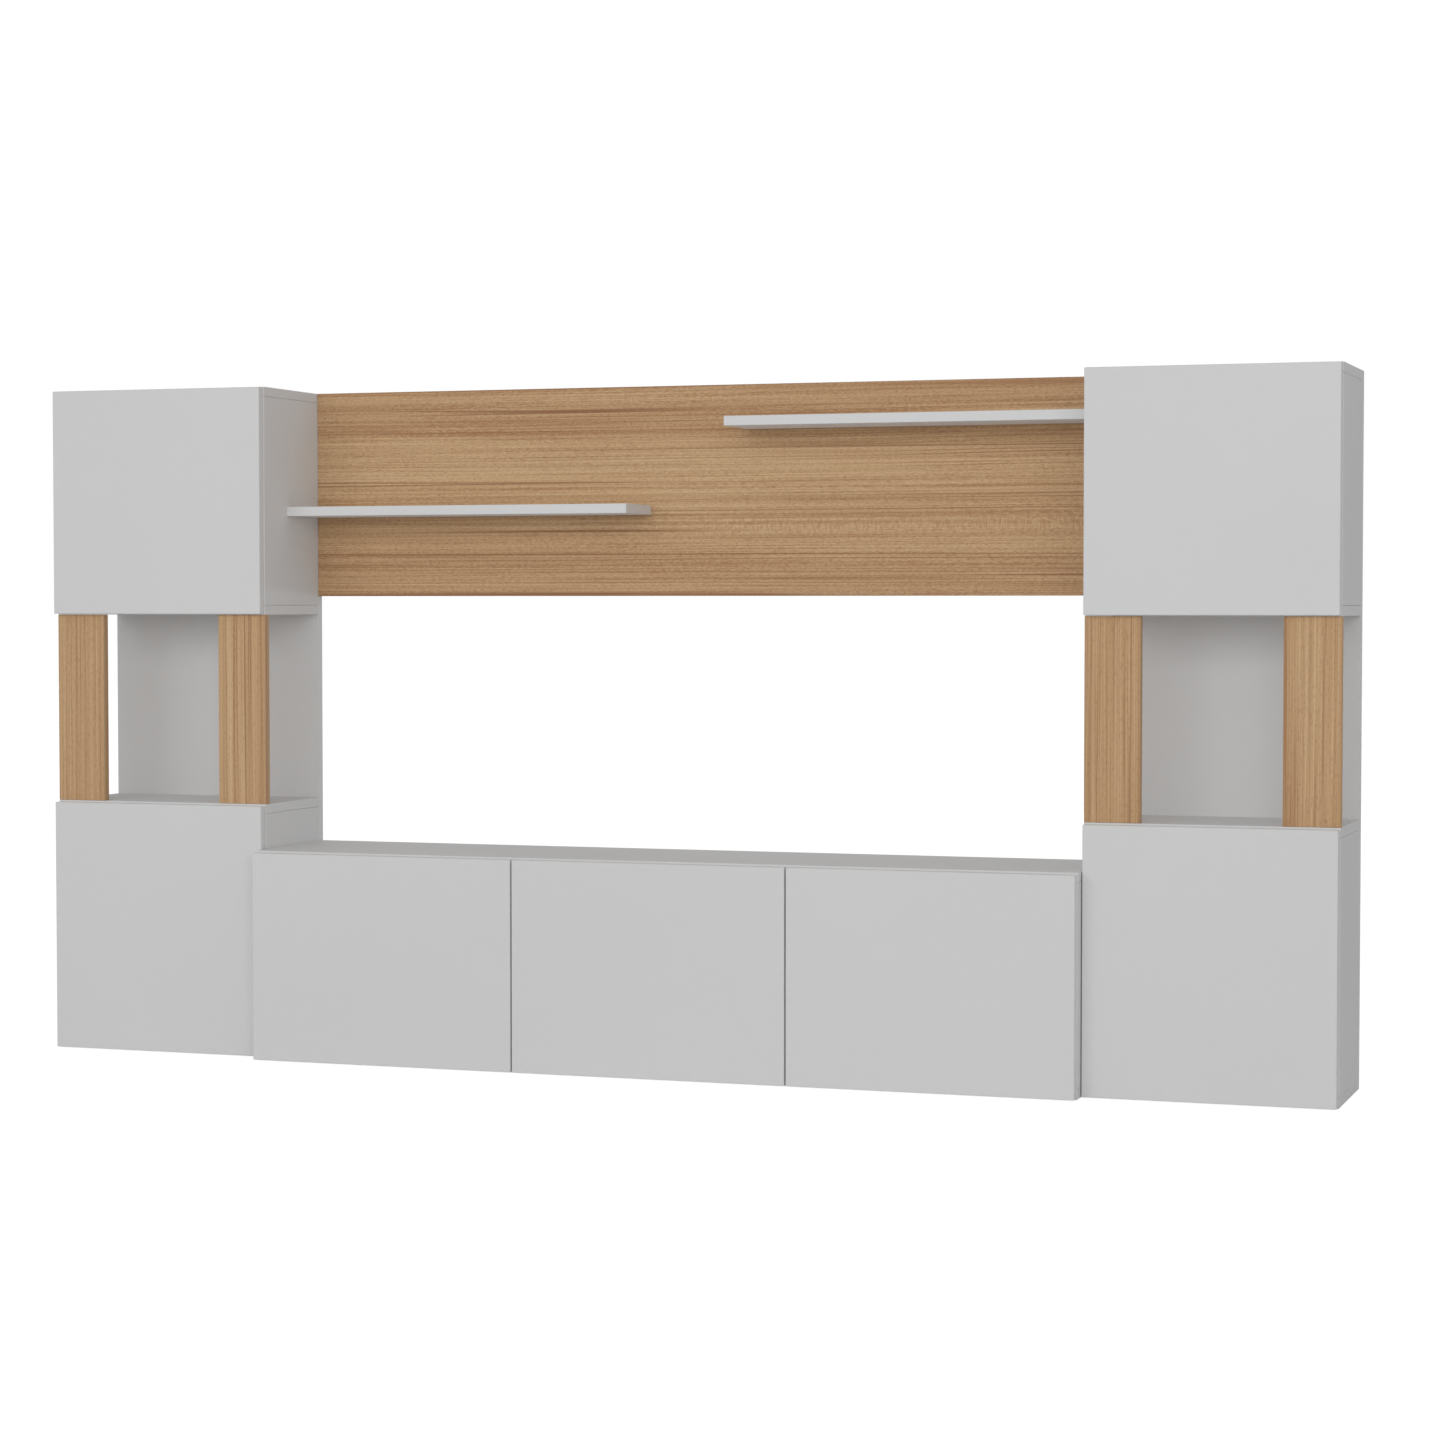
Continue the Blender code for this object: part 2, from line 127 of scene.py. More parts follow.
def vector_calc(tree, operation, *values):
    """The result of a Vector Math node."""
    return add_node(tree, "ShaderNodeVectorMath", dict(enumerate(values)), operation=operation).outputs[0]


def split_axes(tree, place):
    """The X, Y and Z of a place, each by its letter."""
    return add_node(tree, "ShaderNodeSeparateXYZ", {"Vector": place}).outputs


def join_axes(tree, x, y, z):
    """A place from its X, Y and Z."""
    return add_node(tree, "ShaderNodeCombineXYZ", {"X": x, "Y": y, "Z": z}).outputs[0]


def fade(tree, value, start, end, low=0.0, high=1.0):
    """A smooth step from low at start to high at end. Where end is the smaller, it runs the other way."""
    inputs = {"Value": value, "From Min": start, "From Max": end, "To Min": low, "To Max": high}
    return add_node(tree, "ShaderNodeMapRange", inputs, interpolation_type="SMOOTHSTEP").outputs["Result"]


def noise(tree, place, cycles, detail=2.0, roughness=0.5):
    """Noise on a place, from 0 to 1 and mostly near the middle.

    cycles is its cycles per metre: one number, or one each along X, Y and Z.
    """
    if not isinstance(cycles, tuple):
        cycles = (cycles,) * 3
    stretched = vector_calc(tree, "MULTIPLY", place, cycles)
    inputs = {"Vector": stretched, "Scale": 1.0, "Detail": detail, "Roughness": roughness}
    return add_node(tree, "ShaderNodeTexNoise", inputs).outputs["Fac"]


def mix_colour(tree, share, first, second, blend="MIX"):
    """Two colours mixed by a share from 0 to 1.

    A Mix node keeps its inputs for numbers and colours side by side, so the sockets go by their places.
    """
    made = add_node(tree, "ShaderNodeMix", data_type="RGBA", blend_type=blend)
    for socket, value in zip((made.inputs[0], made.inputs[6], made.inputs[7]), (share, first, second)):
        give(tree, socket, value)
    return made.outputs[2]


# Nearly all of a noise's values lie in the wide range, and most of them in the middle one.
NOISE_WIDE = (0.30, 0.70)
NOISE_MIDDLE = (0.35, 0.65)
print("shader helpers ready")

# %% [markdown]
# ## Groups and materials
# An effect that several finishes share is a node group with named inputs and outputs, so that each
# finish can use it with its own values. The shader stays in the material itself, and every pattern hangs
# on the object's own coordinates, so it stays put when a door turns.

# %% Groups and materials
FLOAT, VECTOR, COLOUR = "NodeSocketFloat", "NodeSocketVector", "NodeSocketColor"


def make_group(name, takes, gives):
    """An empty node group with named inputs and outputs, each given as its name, kind and value."""
    group = bpy.data.node_groups.new(name, "ShaderNodeTree")
    for label, kind, value in takes:
        socket = group.interface.new_socket(label, in_out="INPUT", socket_type=kind)
        socket.default_value = value
    for label, kind in gives:
        group.interface.new_socket(label, in_out="OUTPUT", socket_type=kind)
    return group, group.nodes.new("NodeGroupInput").outputs, group.nodes.new("NodeGroupOutput").inputs


def use_group(tree, group, **values):
    """A node group placed in a tree with its values. Gives its outputs."""
    made = add_node(tree, "ShaderNodeGroup", node_tree=group)
    feed(tree, made.inputs, **values)
    return made.outputs


def make_material(name, roughness, metallic=0.0, specular=0.5):
    """A material with its Principled shader, and the object's own place to hang patterns on."""
    material = bpy.data.materials.new(name)
    material.use_nodes = True
    tree = material.node_tree
    shader = tree.nodes["Principled BSDF"]
    feed(tree, shader.inputs, Roughness=roughness, Metallic=metallic, Specular_IOR_Level=specular)
    place = tree.nodes.new("ShaderNodeTexCoord").outputs["Object"]
    return material, tree, shader, place


def add_bump(tree, shader, height, distance):
    """Fine relief: a height from 0 to 1 times a distance in metres bends the light."""
    bump = add_node(tree, "ShaderNodeBump", {"Height": height, "Distance": distance, "Strength": 1.0})
    tree.links.new(bump.outputs["Normal"], shader.inputs["Normal"])


def finish_solid(node, material):
    """A solid's own material slot takes the finish."""
    solids[node].material_slots[0].material = material


print("group and material makers ready")

# %% [markdown]
# ## Skin of a melamine-faced board
# White furniture board is chipboard with a thin printed or plain paper pressed on in resin. The press
# plate leaves a faint pearl texture under a millimetre across, which breaks up reflections, handling
# leaves the gloss slightly uneven over a hand's width, and the white itself drifts by a hundredth from
# place to place. All three come from noise: fine for the relief, broad for the gloss, broader for the
# white. A picture could do the same, but it would blur close up and show its seams.

# %% Melamine skin group
PEARL_CYCLES, PEARL_SHARE = 1300, 0.6
GRIT_CYCLES, GRIT_SHARE = 420, 0.4
HANDLING_CYCLES = 5.0
CLOUD_CYCLES = 2.2
CLOUD_TONE = 0.985
melamine_skin, takes, gives = make_group(
    "melamine_skin",
    [("Place", VECTOR, (0, 0, 0)), ("Gloss spread", FLOAT, 0.05)],
    [("Height", FLOAT), ("Roughness shift", FLOAT), ("Tone", FLOAT)],
)
tree = melamine_skin
place = takes["Place"]
pearl = calc(tree, "MULTIPLY", noise(tree, place, PEARL_CYCLES, detail=1.5), PEARL_SHARE)
grit = calc(tree, "MULTIPLY", noise(tree, place, GRIT_CYCLES, detail=1.0), GRIT_SHARE)
handled = calc(tree, "SUBTRACT", noise(tree, place, HANDLING_CYCLES, detail=3.0, roughness=0.6), 0.5)
cloud = noise(tree, place, CLOUD_CYCLES)
feed(
    tree, gives,
    Height=calc(tree, "ADD", pearl, grit),
    Roughness_shift=calc(tree, "MULTIPLY", handled, takes["Gloss spread"]),
    Tone=fade(tree, cloud, *NOISE_WIDE, CLOUD_TONE, 1.0),
)
print("group", melamine_skin.name)

# %% [markdown]
# ## Edge band
# A cut board shows its chips, so a strip of plastic about a millimetre thick is glued on each edge that
# is seen. Close up it shows as a hairline one millimetre in from the corner, and the strip itself is a
# shade whiter and glossier than the board's face. The group works this out from the board's own box: how
# far a point lies from the nearest banded edge. An axis whose edges have no band is moved out of reach.

# %% Edge band group
# The hairline's half width, and how much of it is full. The band ends over its last twentieth.
HAIRLINE = 0.00012
HAIRLINE_FULL = 0.3
BAND_THICKNESS = 0.001
BAND_FULL = 0.95
edge_band, takes, gives = make_group(
    "edge_band",
    [("Place", VECTOR, (0, 0, 0)), ("Middle", VECTOR, (0, 0, 0)), ("Half size", VECTOR, (1, 1, 1))],
    [("Hairline", FLOAT), ("Band", FLOAT)],
)
tree = edge_band
from_middle = vector_calc(tree, "ABSOLUTE", vector_calc(tree, "SUBTRACT", takes["Place"], takes["Middle"]))
parts = split_axes(tree, vector_calc(tree, "SUBTRACT", takes["Half size"], from_middle))
nearest = calc(tree, "MINIMUM", calc(tree, "MINIMUM", parts["X"], parts["Y"]), parts["Z"])
off_line = calc(tree, "ABSOLUTE", calc(tree, "SUBTRACT", nearest, BAND_THICKNESS))
feed(
    tree, gives,
    Hairline=fade(tree, off_line, HAIRLINE * HAIRLINE_FULL, HAIRLINE, 1.0, 0.0),
    Band=fade(tree, nearest, BAND_THICKNESS * BAND_FULL, BAND_THICKNESS, 1.0, 0.0),
)
print("group", edge_band.name)

# %% Edge band on a board
OUT_OF_REACH = 10.0


def board_frame(node, banded):
    """A board's middle and half size for the edge band group.

    banded names the banded edges: an axis for both edges, or -y for the front edge alone. The half size
    along an axis without a band is made far too large. For -y the middle moves back by as much as the
    half size grows, which leaves the front edge where it is.
    """
    low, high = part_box(node)
    middle = (low + high) / 2
    half = (high - low) / 2
    for axis, letter in enumerate("xyz"):
        if letter not in banded and "-" + letter not in banded:
            half[axis] = OUT_OF_REACH
    if "-y" in banded:
        half[1] += OUT_OF_REACH
        middle[1] += OUT_OF_REACH
    return tuple(middle), tuple(half)


def band_on(tree, place, node, banded):
    """The edge band group, set to one board."""
    middle, half = board_frame(node, banded)
    return use_group(tree, edge_band, Place=place, Middle=middle, Half_size=half)


print("an edge without a band is moved", OUT_OF_REACH, "m away")

# %% [markdown]
# ## White board
# The white is a plain satin white that the photograph shows as a light neutral grey, because its light
# is below full. Each board gets a material of its own, since the edge band needs the board's box, and a
# table says which of its edges are banded. The rear edges of the low cabinet's outer boards face the
# wall, where no one looks, so they are left as cut and show the chips between two white skins.

# %% Chipboard group
CHIP_CYCLES = 420.0
GLUE_CYCLES = 260
GLUE_NOISE = (0.50, 0.68)
CHIP_BROWN = (0.30, 0.20, 0.115, 1)
CHIP_STRAW = (0.56, 0.42, 0.27, 1)
GLUE_DARK = (0.16, 0.095, 0.05, 1)
GLUE_SHARE = 0.7
chip_core, takes, gives = make_group(
    "chip_core",
    [("Place", VECTOR, (0, 0, 0))],
    [("Color", COLOUR), ("Height", FLOAT)],
)
tree = chip_core
glue = noise(tree, takes["Place"], GLUE_CYCLES)
chip_inputs = {"Vector": takes["Place"], "Scale": CHIP_CYCLES, "Randomness": 1.0}
chips = add_node(tree, "ShaderNodeTexVoronoi", chip_inputs).outputs["Color"]
chip_tone = add_node(tree, "ShaderNodeSeparateColor", {"Color": chips}).outputs["Red"]
chip_colour = mix_colour(tree, chip_tone, CHIP_BROWN, CHIP_STRAW)
feed(
    tree, gives,
    Color=mix_colour(tree, fade(tree, glue, *GLUE_NOISE, 0.0, GLUE_SHARE), chip_colour, GLUE_DARK),
    Height=calc(tree, "ADD", calc(tree, "MULTIPLY", chip_tone, 0.5), calc(tree, "MULTIPLY", glue, 0.5)),
)
print("group", chip_core.name)

# %% White board material
WHITE = (0.76, 0.76, 0.76, 1)
WHITE_ROUGHNESS = 0.56
WHITE_GLOSS = 0.02
WHITE_RELIEF = 0.000012
BAND_WHITE = (0.775, 0.775, 0.775, 1)
BAND_SMOOTHER = 0.05
JOINT_GREY = (0.36, 0.35, 0.34, 1)
HAIRLINE_SHARE = 0.55
HAIRLINE_DEPTH = 1.5
# A skin's thickness, and how far in the chips are bare, in skins. How far before the rear face the cut
# begins and is full.
SKIN = 0.0004
BARE_FROM = 1.25
CUT_BEGINS, CUT_FULL = 0.0009, 0.0007
CUT_ROUGHER = 0.4
CUT_RELIEF = 12.0


def cut_rear_edge(tree, place, node):
    """1 on a board's cut rear edge between its two skins, and 0 elsewhere.

    It is a step in Y just before the rear face, times a step in the distance from the board's mid plane.
    """
    low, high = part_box(node)
    thin = min(range(3), key=lambda axis: high[axis] - low[axis])
    middle = (low[thin] + high[thin]) / 2
    half = (high[thin] - low[thin]) / 2
    parts = split_axes(tree, place)
    at_rear = fade(tree, parts["Y"], high[1] - CUT_BEGINS, high[1] - CUT_FULL)
    off_middle = calc(tree, "ABSOLUTE", calc(tree, "SUBTRACT", parts["XYZ"[thin]], middle))
    inside = fade(tree, off_middle, half - SKIN * BARE_FROM, half - SKIN, 1.0, 0.0)
    return calc(tree, "MULTIPLY", at_rear, inside)


def make_white_board(node, banded, cut_rear):
    """Satin white board with its edge bands, and bare chipboard at its rear edge where asked."""
    name = "white_board_" + node
    material, tree, shader, place = make_material(name, WHITE_ROUGHNESS, specular=WHITE_GLOSS)
    skin = use_group(tree, melamine_skin, Place=place)
    band = band_on(tree, place, node, banded)
    tone = {"Red": skin["Tone"], "Green": skin["Tone"], "Blue": skin["Tone"]}
    tone = add_node(tree, "ShaderNodeCombineColor", tone).outputs[0]
    colour = mix_colour(tree, band["Band"], WHITE, BAND_WHITE)
    colour = mix_colour(tree, calc(tree, "MULTIPLY", band["Hairline"], HAIRLINE_SHARE), colour, JOINT_GREY)
    colour = mix_colour(tree, 1.0, colour, tone, "MULTIPLY")
    rough = calc(tree, "ADD", skin["Roughness shift"], WHITE_ROUGHNESS)
    rough = calc(tree, "SUBTRACT", rough, calc(tree, "MULTIPLY", band["Band"], BAND_SMOOTHER))
    groove = calc(tree, "MULTIPLY", band["Hairline"], HAIRLINE_DEPTH)
    height = calc(tree, "SUBTRACT", skin["Height"], groove)
    if cut_rear:
        bare = cut_rear_edge(tree, place, node)
        core = use_group(tree, chip_core, Place=place)
        colour = mix_colour(tree, bare, colour, core["Color"])
        rough = calc(tree, "ADD", rough, calc(tree, "MULTIPLY", bare, CUT_ROUGHER))
        chips = calc(tree, "MULTIPLY", calc(tree, "MULTIPLY", core["Height"], bare), CUT_RELIEF)
        height = calc(tree, "ADD", height, chips)
    feed(tree, shader.inputs, Base_Color=colour, Roughness=rough)
    add_bump(tree, shader, height, WHITE_RELIEF)
    return material


print("white board: colour", WHITE[:3], "roughness", WHITE_ROUGHNESS)

# %% White boards
# Which edges are banded: doors and back panels all round, shelves at the front and both ends, and a
# carcass board at the front alone.
BANDS = {"_door": ("x", "z"), "_back": ("x", "z"), "_shelf": ("-y", "x")}
white_boards = [row["node"] for row in frame["record"]["subparts"] if row["material_slot"] == "white_board"]
for node in white_boards:
    banded = next((edges for end, edges in BANDS.items() if node.endswith(end)), ("-y",))
    cut_rear = node.startswith("tv_cabinet") and not node.endswith(("_door", "_divider"))
    finish_solid(node, make_white_board(node, banded, cut_rear))
print(len(white_boards), "white boards")

# %% [markdown]
# ## Oak grain: bands and streaks
# The panel and the posts are board with a printed oak skin. Real grain is one pattern stretched along
# the trunk, so nearly every layer here is noise with few cycles per metre along the grain and many
# across. Five such layers added up give the tone: the slow ones are tan and rosy bands a few centimetres
# wide, the quick ones fine streaks. A short speckle on top, which is stronger on the panel than on the
# posts, keeps the streaks from looking combed. The whole pattern wanders sideways by a millimetre or two.

# %% Oak grain group: tone
TAN_LIGHT = (0.700, 0.484, 0.283, 1)
TAN = (0.592, 0.381, 0.211, 1)
ROSY = (0.455, 0.260, 0.137, 1)
LIGHT_TONES = (0.50, 0.61)
ROSY_TONES = (0.505, 0.40)
WANDER_CYCLES = (0.9, 6, 6)
WANDER = 0.010
SPECKLE_CYCLES = (150, 480, 480)
# Each layer has its cycles per metre along and across the grain, and its share of the tone.
LAYERS = ((0.2, 11, 0.18), (0.35, 38, 0.17), (0.6, 120, 0.20), (1.1, 300, 0.25), (4, 620, 0.20))
oak_grain, takes, gives = make_group(
    "oak_grain",
    [
        ("Place", VECTOR, (0, 0, 0)), ("Log", FLOAT, 0.0),
        ("Speckle", FLOAT, 0.1), ("Line share", FLOAT, 0.7),
        ("Fleck start", FLOAT, 0.0), ("Fleck level", FLOAT, 0.0),
    ],
    [("Color", COLOUR), ("Roughness", FLOAT), ("Height", FLOAT)],
)
tree = oak_grain
place = vector_calc(tree, "ADD", takes["Place"], join_axes(tree, takes["Log"], takes["Log"], takes["Log"]))
sideways = calc(tree, "SUBTRACT", noise(tree, place, WANDER_CYCLES, detail=1.0), 0.5)
sideways = calc(tree, "MULTIPLY", sideways, WANDER)
place = vector_calc(tree, "ADD", place, join_axes(tree, 0.0, sideways, sideways))
tone = 0.0
for along, across, share in LAYERS:
    layer = noise(tree, place, (along, across, across), detail=1.0)
    tone = calc(tree, "MULTIPLY_ADD", layer, share, tone)
speckle = calc(tree, "SUBTRACT", noise(tree, place, SPECKLE_CYCLES, detail=1.0), 0.5)
tone = calc(tree, "MULTIPLY_ADD", speckle, takes["Speckle"], tone)
colour = mix_colour(tree, fade(tree, tone, *LIGHT_TONES), TAN, TAN_LIGHT)
colour = mix_colour(tree, fade(tree, tone, *ROSY_TONES), colour, ROSY)
print(len(LAYERS), "layers of tone in the oak")

# %% [markdown]
# ## Oak grain: lines, flecks and pores
# Thin red-brown lines run through the print, one or two centimetres apart, and fade in and out. They are
# the borders between cells that are drawn out for metres along the grain, so they run almost straight
# and join here and there, as in sawn wood. There are two sets, a coarse strong one and a finer faint
# one, and the posts have both fainter than the panel.
#
# On the panel's right part, one level band shows short marks across the grain, as where a board is cut
# along the tree's rays. It begins softly just left of the middle, its edges are ragged, and the lines
# fade where it passes. Short dark pores lie all over the panel and the posts.

# %% Oak grain group: lines
LINE_BROWN = (0.290, 0.138, 0.070, 1)
LINE_ALONG = 0.15
# Where a line shows: cycles per metre along the grain, and per cell across it, and the noise it starts in.
LINE_FADE_ALONG, LINE_FADE_ACROSS = 0.8, 0.7
LINE_NOISE = (0.42, 0.64)
# Each set of lines: cells per metre across the grain, half a line's width in cells, and strength.
LINE_SETS = ((62, 0.065, 1.0), (150, 0.085, 0.45))
line = 0.0
for spacing, thick, strong in LINE_SETS:
    stretched = vector_calc(tree, "MULTIPLY", place, (LINE_ALONG, spacing, spacing))
    inputs = {"Vector": stretched, "Scale": 1.0}
    cells = add_node(tree, "ShaderNodeTexVoronoi", inputs, feature="DISTANCE_TO_EDGE")
    edge = fade(tree, cells.outputs["Distance"], thick, 0.0)
    across = spacing * LINE_FADE_ACROSS
    here = noise(tree, place, (LINE_FADE_ALONG, across, across), detail=1.0)
    strength = fade(tree, here, *LINE_NOISE, 0.0, strong)
    line = calc(tree, "MAXIMUM", calc(tree, "MULTIPLY", edge, strength), line)
print(len(LINE_SETS), "sets of lines in the oak")

# %% Oak grain group: fleck band
RAGGED_CYCLES = 40
RAGGED_REACH = 0.040
FLECK_BAND_FADES = (-0.016, 0.004)
FLECK_BEGINS_OVER = 0.25
LINES_LOST = 0.75
parts = split_axes(tree, takes["Place"])
off_level = calc(tree, "ABSOLUTE", calc(tree, "SUBTRACT", parts["Z"], takes["Fleck level"]))
ragged = calc(tree, "MULTIPLY", noise(tree, place, RAGGED_CYCLES, detail=2.5), RAGGED_REACH)
fleck_band = fade(tree, calc(tree, "SUBTRACT", off_level, ragged), *FLECK_BAND_FADES, 1.0, 0.0)
past_start = calc(tree, "SUBTRACT", parts["X"], takes["Fleck start"])
fleck_band = calc(tree, "MULTIPLY", fleck_band, fade(tree, past_start, 0.0, FLECK_BEGINS_OVER))
line = calc(tree, "MULTIPLY", line, calc(tree, "MULTIPLY_ADD", fleck_band, -LINES_LOST, 1.0))
colour = mix_colour(tree, calc(tree, "MULTIPLY", line, takes["Line share"]), colour, LINE_BROWN)
print("the fleck band begins over", FLECK_BEGINS_OVER, "m")

# %% Oak grain group: pores and marks
OAK_ROUGHNESS = 0.50
DARK_ROUGHER = 0.08
PORE_CYCLES = (110, 620, 620)
PORE_NOISE = (0.55, 0.70)
PORE_SHARE = 0.3
MARK_CYCLES = (250, 70, 70)
DARK_MARKS, DARK_MARK_SHARE = (0.49, 0.60), 0.50
LIGHT_MARKS, LIGHT_MARK_SHARE = (0.48, 0.38), 0.20
TONE_HEIGHT, DARK_DEPTH = 0.5, 0.6
pores = fade(tree, noise(tree, place, PORE_CYCLES, detail=1.0), *PORE_NOISE)
colour = mix_colour(tree, calc(tree, "MULTIPLY", pores, PORE_SHARE), colour, LINE_BROWN)
marks = noise(tree, place, MARK_CYCLES, detail=2.5, roughness=0.6)
kinds = ((DARK_MARKS, DARK_MARK_SHARE, ROSY), (LIGHT_MARKS, LIGHT_MARK_SHARE, TAN_LIGHT))
for tones, share, mark in kinds:
    marked = calc(tree, "MULTIPLY", fade(tree, marks, *tones), fleck_band)
    colour = mix_colour(tree, calc(tree, "MULTIPLY", marked, share), colour, mark)
rougher = calc(tree, "MULTIPLY", calc(tree, "ADD", pores, line), DARK_ROUGHER)
sunk = calc(tree, "MULTIPLY", calc(tree, "MAXIMUM", pores, line), DARK_DEPTH)
feed(
    tree, gives,
    Color=colour,
    Roughness=calc(tree, "ADD", OAK_ROUGHNESS, rougher),
    Height=calc(tree, "SUBTRACT", calc(tree, "MULTIPLY", tone, TONE_HEIGHT), sunk),
)
print("group", oak_grain.name)

# %% [markdown]
# ## Oak boards
# On the panel the grain runs along X. On a post it runs upwards, so a Mapping node turns the pattern by
# a quarter turn about Y. Each board is cut from another place in the log, which the Log value shifts: it
# was chosen so that the board's light and dark bands fall about as in the photograph.

# %% Oak boards
OAK_GLOSS = 0.03
OAK_RELIEF = 0.00003
OAK_HAIRLINE_SHARE = 0.5
PANEL_PRINT = {"Log": 3.66, "Speckle": 0.25, "Line_share": 0.78, "Fleck_start": -0.12, "Fleck_level": 1.018}
POST_PRINT = {"Speckle": 0.04, "Line_share": 0.58, "Fleck_start": OUT_OF_REACH, "Fleck_level": OUT_OF_REACH}
POST_LOGS = {
    "left_tower_outer_post": 27.0, "left_tower_inner_post": 15.41,
    "right_tower_inner_post": 13.46, "right_tower_outer_post": 25.88,
}


def make_oak_board(node, upright, banded, **print_values):
    """Satin oak board: grain along X, or along Z when it stands upright."""
    material, tree, shader, place = make_material("oak_board_" + node, OAK_ROUGHNESS, specular=OAK_GLOSS)
    along = place
    if upright:
        turned_place = {"Vector": place, "Rotation": (0, math.pi / 2, 0)}
        along = add_node(tree, "ShaderNodeMapping", turned_place).outputs[0]
    grain = use_group(tree, oak_grain, Place=along, **print_values)
    band = band_on(tree, place, node, banded)
    hairline = calc(tree, "MULTIPLY", band["Hairline"], OAK_HAIRLINE_SHARE)
    colour = mix_colour(tree, hairline, grain["Color"], LINE_BROWN)
    feed(tree, shader.inputs, Base_Color=colour, Roughness=grain["Roughness"])
    add_bump(tree, shader, grain["Height"], OAK_RELIEF)
    return material


finish_solid("wall_panel", make_oak_board("wall_panel", False, ("x", "z"), **PANEL_PRINT))
for node, log in POST_LOGS.items():
    finish_solid(node, make_oak_board(node, True, ("x",), Log=log, **POST_PRINT))
print("oak on", len(POST_LOGS) + 1, "boards")

# %% [markdown]
# ## Hardboard back
# The low cabinet's back is three millimetres of hardboard, pushed into grooves. Its face is lacquered
# white like the boards, and its rear is the bare brown fibre, pressed from wet felt on a wire screen:
# darker fibres and soft clouds, and the screen's print, which is the product of two sines. One material
# does both, because the two sides differ only by where they lie: a point in the rear half of the sheet's
# thickness is brown.

# %% Hardboard material
FIBRE_BROWN = (0.450, 0.295, 0.172, 1)
FIBRE_DARK = (0.270, 0.165, 0.090, 1)
FELT_CYCLES = 900
FELT_NOISE = (0.40, 0.62)
FELT_CLOUD_CYCLES = 12
FELT_CLOUD_SHARE = 0.25
WIRE_PITCH = 0.0016
WIRE_SHARE, FELT_SHARE = 0.25, 0.75
BROWN_FULL = 0.0005
REAR_ROUGHER = 0.3
REAR_COARSER = 4.0
HARDBOARD_RELIEF = 0.00002
material, tree, shader, place = make_material("hardboard_sheet", WHITE_ROUGHNESS, specular=WHITE_GLOSS)
low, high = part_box("tv_cabinet_back")
parts = split_axes(tree, place)
rear = fade(tree, parts["Y"], (low[1] + high[1]) / 2, high[1] - BROWN_FULL)
skin = use_group(tree, melamine_skin, Place=place)
felt = noise(tree, place, FELT_CYCLES, detail=2.5)
clouds = noise(tree, place, FELT_CLOUD_CYCLES, detail=3.0)
brown = mix_colour(tree, fade(tree, felt, *FELT_NOISE), FIBRE_DARK, FIBRE_BROWN)
brown = mix_colour(tree, fade(tree, clouds, *NOISE_MIDDLE, 0.0, FELT_CLOUD_SHARE), brown, FIBRE_DARK)
rough = calc(tree, "ADD", calc(tree, "MULTIPLY", rear, REAR_ROUGHER), WHITE_ROUGHNESS)
feed(tree, shader.inputs, Base_Color=mix_colour(tree, rear, WHITE, brown), Roughness=rough)
waves = [calc(tree, "SINE", calc(tree, "MULTIPLY", parts[axis], 2 * math.pi / WIRE_PITCH)) for axis in "XZ"]
felt_height = calc(tree, "MULTIPLY", felt, FELT_SHARE)
screen = calc(tree, "MULTIPLY_ADD", calc(tree, "MULTIPLY", *waves), WIRE_SHARE, felt_height)
height = calc(tree, "MULTIPLY_ADD", calc(tree, "MULTIPLY", screen, rear), REAR_COARSER, skin["Height"])
add_bump(tree, shader, height, HARDBOARD_RELIEF)
finish_solid("tv_cabinet_back", material)
print("hardboard on tv_cabinet_back")

# %% [markdown]
# ## Steel and plastic
# The hinges are pressed from steel strip and plated with nickel: a warm satin grey with the fine lines
# that the strip got in the rolling mill, and a duller patch here and there. The latch is moulded plastic,
# which takes the spark-eroded texture of its mould. Each is a group, since two materials are made from it.

# %% Plated steel group
NICKEL_DULL = (0.60, 0.59, 0.56, 1)
NICKEL = (0.72, 0.71, 0.69, 1)
ROLLING_GREY = (0.42, 0.41, 0.40, 1)
ROLLING_CYCLES = (90, 90, 5200)
ROLLING_SHARE, ROLLING_ROUGHER = 0.25, 0.08
DULL_CYCLES = 160
DULL_ROUGHER = 0.12
plated_steel, takes, gives = make_group(
    "plated_steel",
    [("Place", VECTOR, (0, 0, 0)), ("Shine", FLOAT, 0.30)],
    [("Color", COLOUR), ("Roughness", FLOAT), ("Height", FLOAT)],
)
tree = plated_steel
rolled = noise(tree, takes["Place"], ROLLING_CYCLES)
dull = noise(tree, takes["Place"], DULL_CYCLES, detail=3.0, roughness=0.6)
nickel = mix_colour(tree, fade(tree, dull, *NOISE_MIDDLE), NICKEL_DULL, NICKEL)
rough = calc(tree, "ADD", takes["Shine"], fade(tree, dull, *NOISE_WIDE, DULL_ROUGHER, 0.0))
feed(
    tree, gives,
    Color=mix_colour(tree, fade(tree, rolled, *NOISE_MIDDLE, ROLLING_SHARE, 0.0), nickel, ROLLING_GREY),
    Roughness=calc(tree, "ADD", rough, calc(tree, "MULTIPLY", rolled, ROLLING_ROUGHER)),
    Height=rolled,
)
print("group", plated_steel.name)

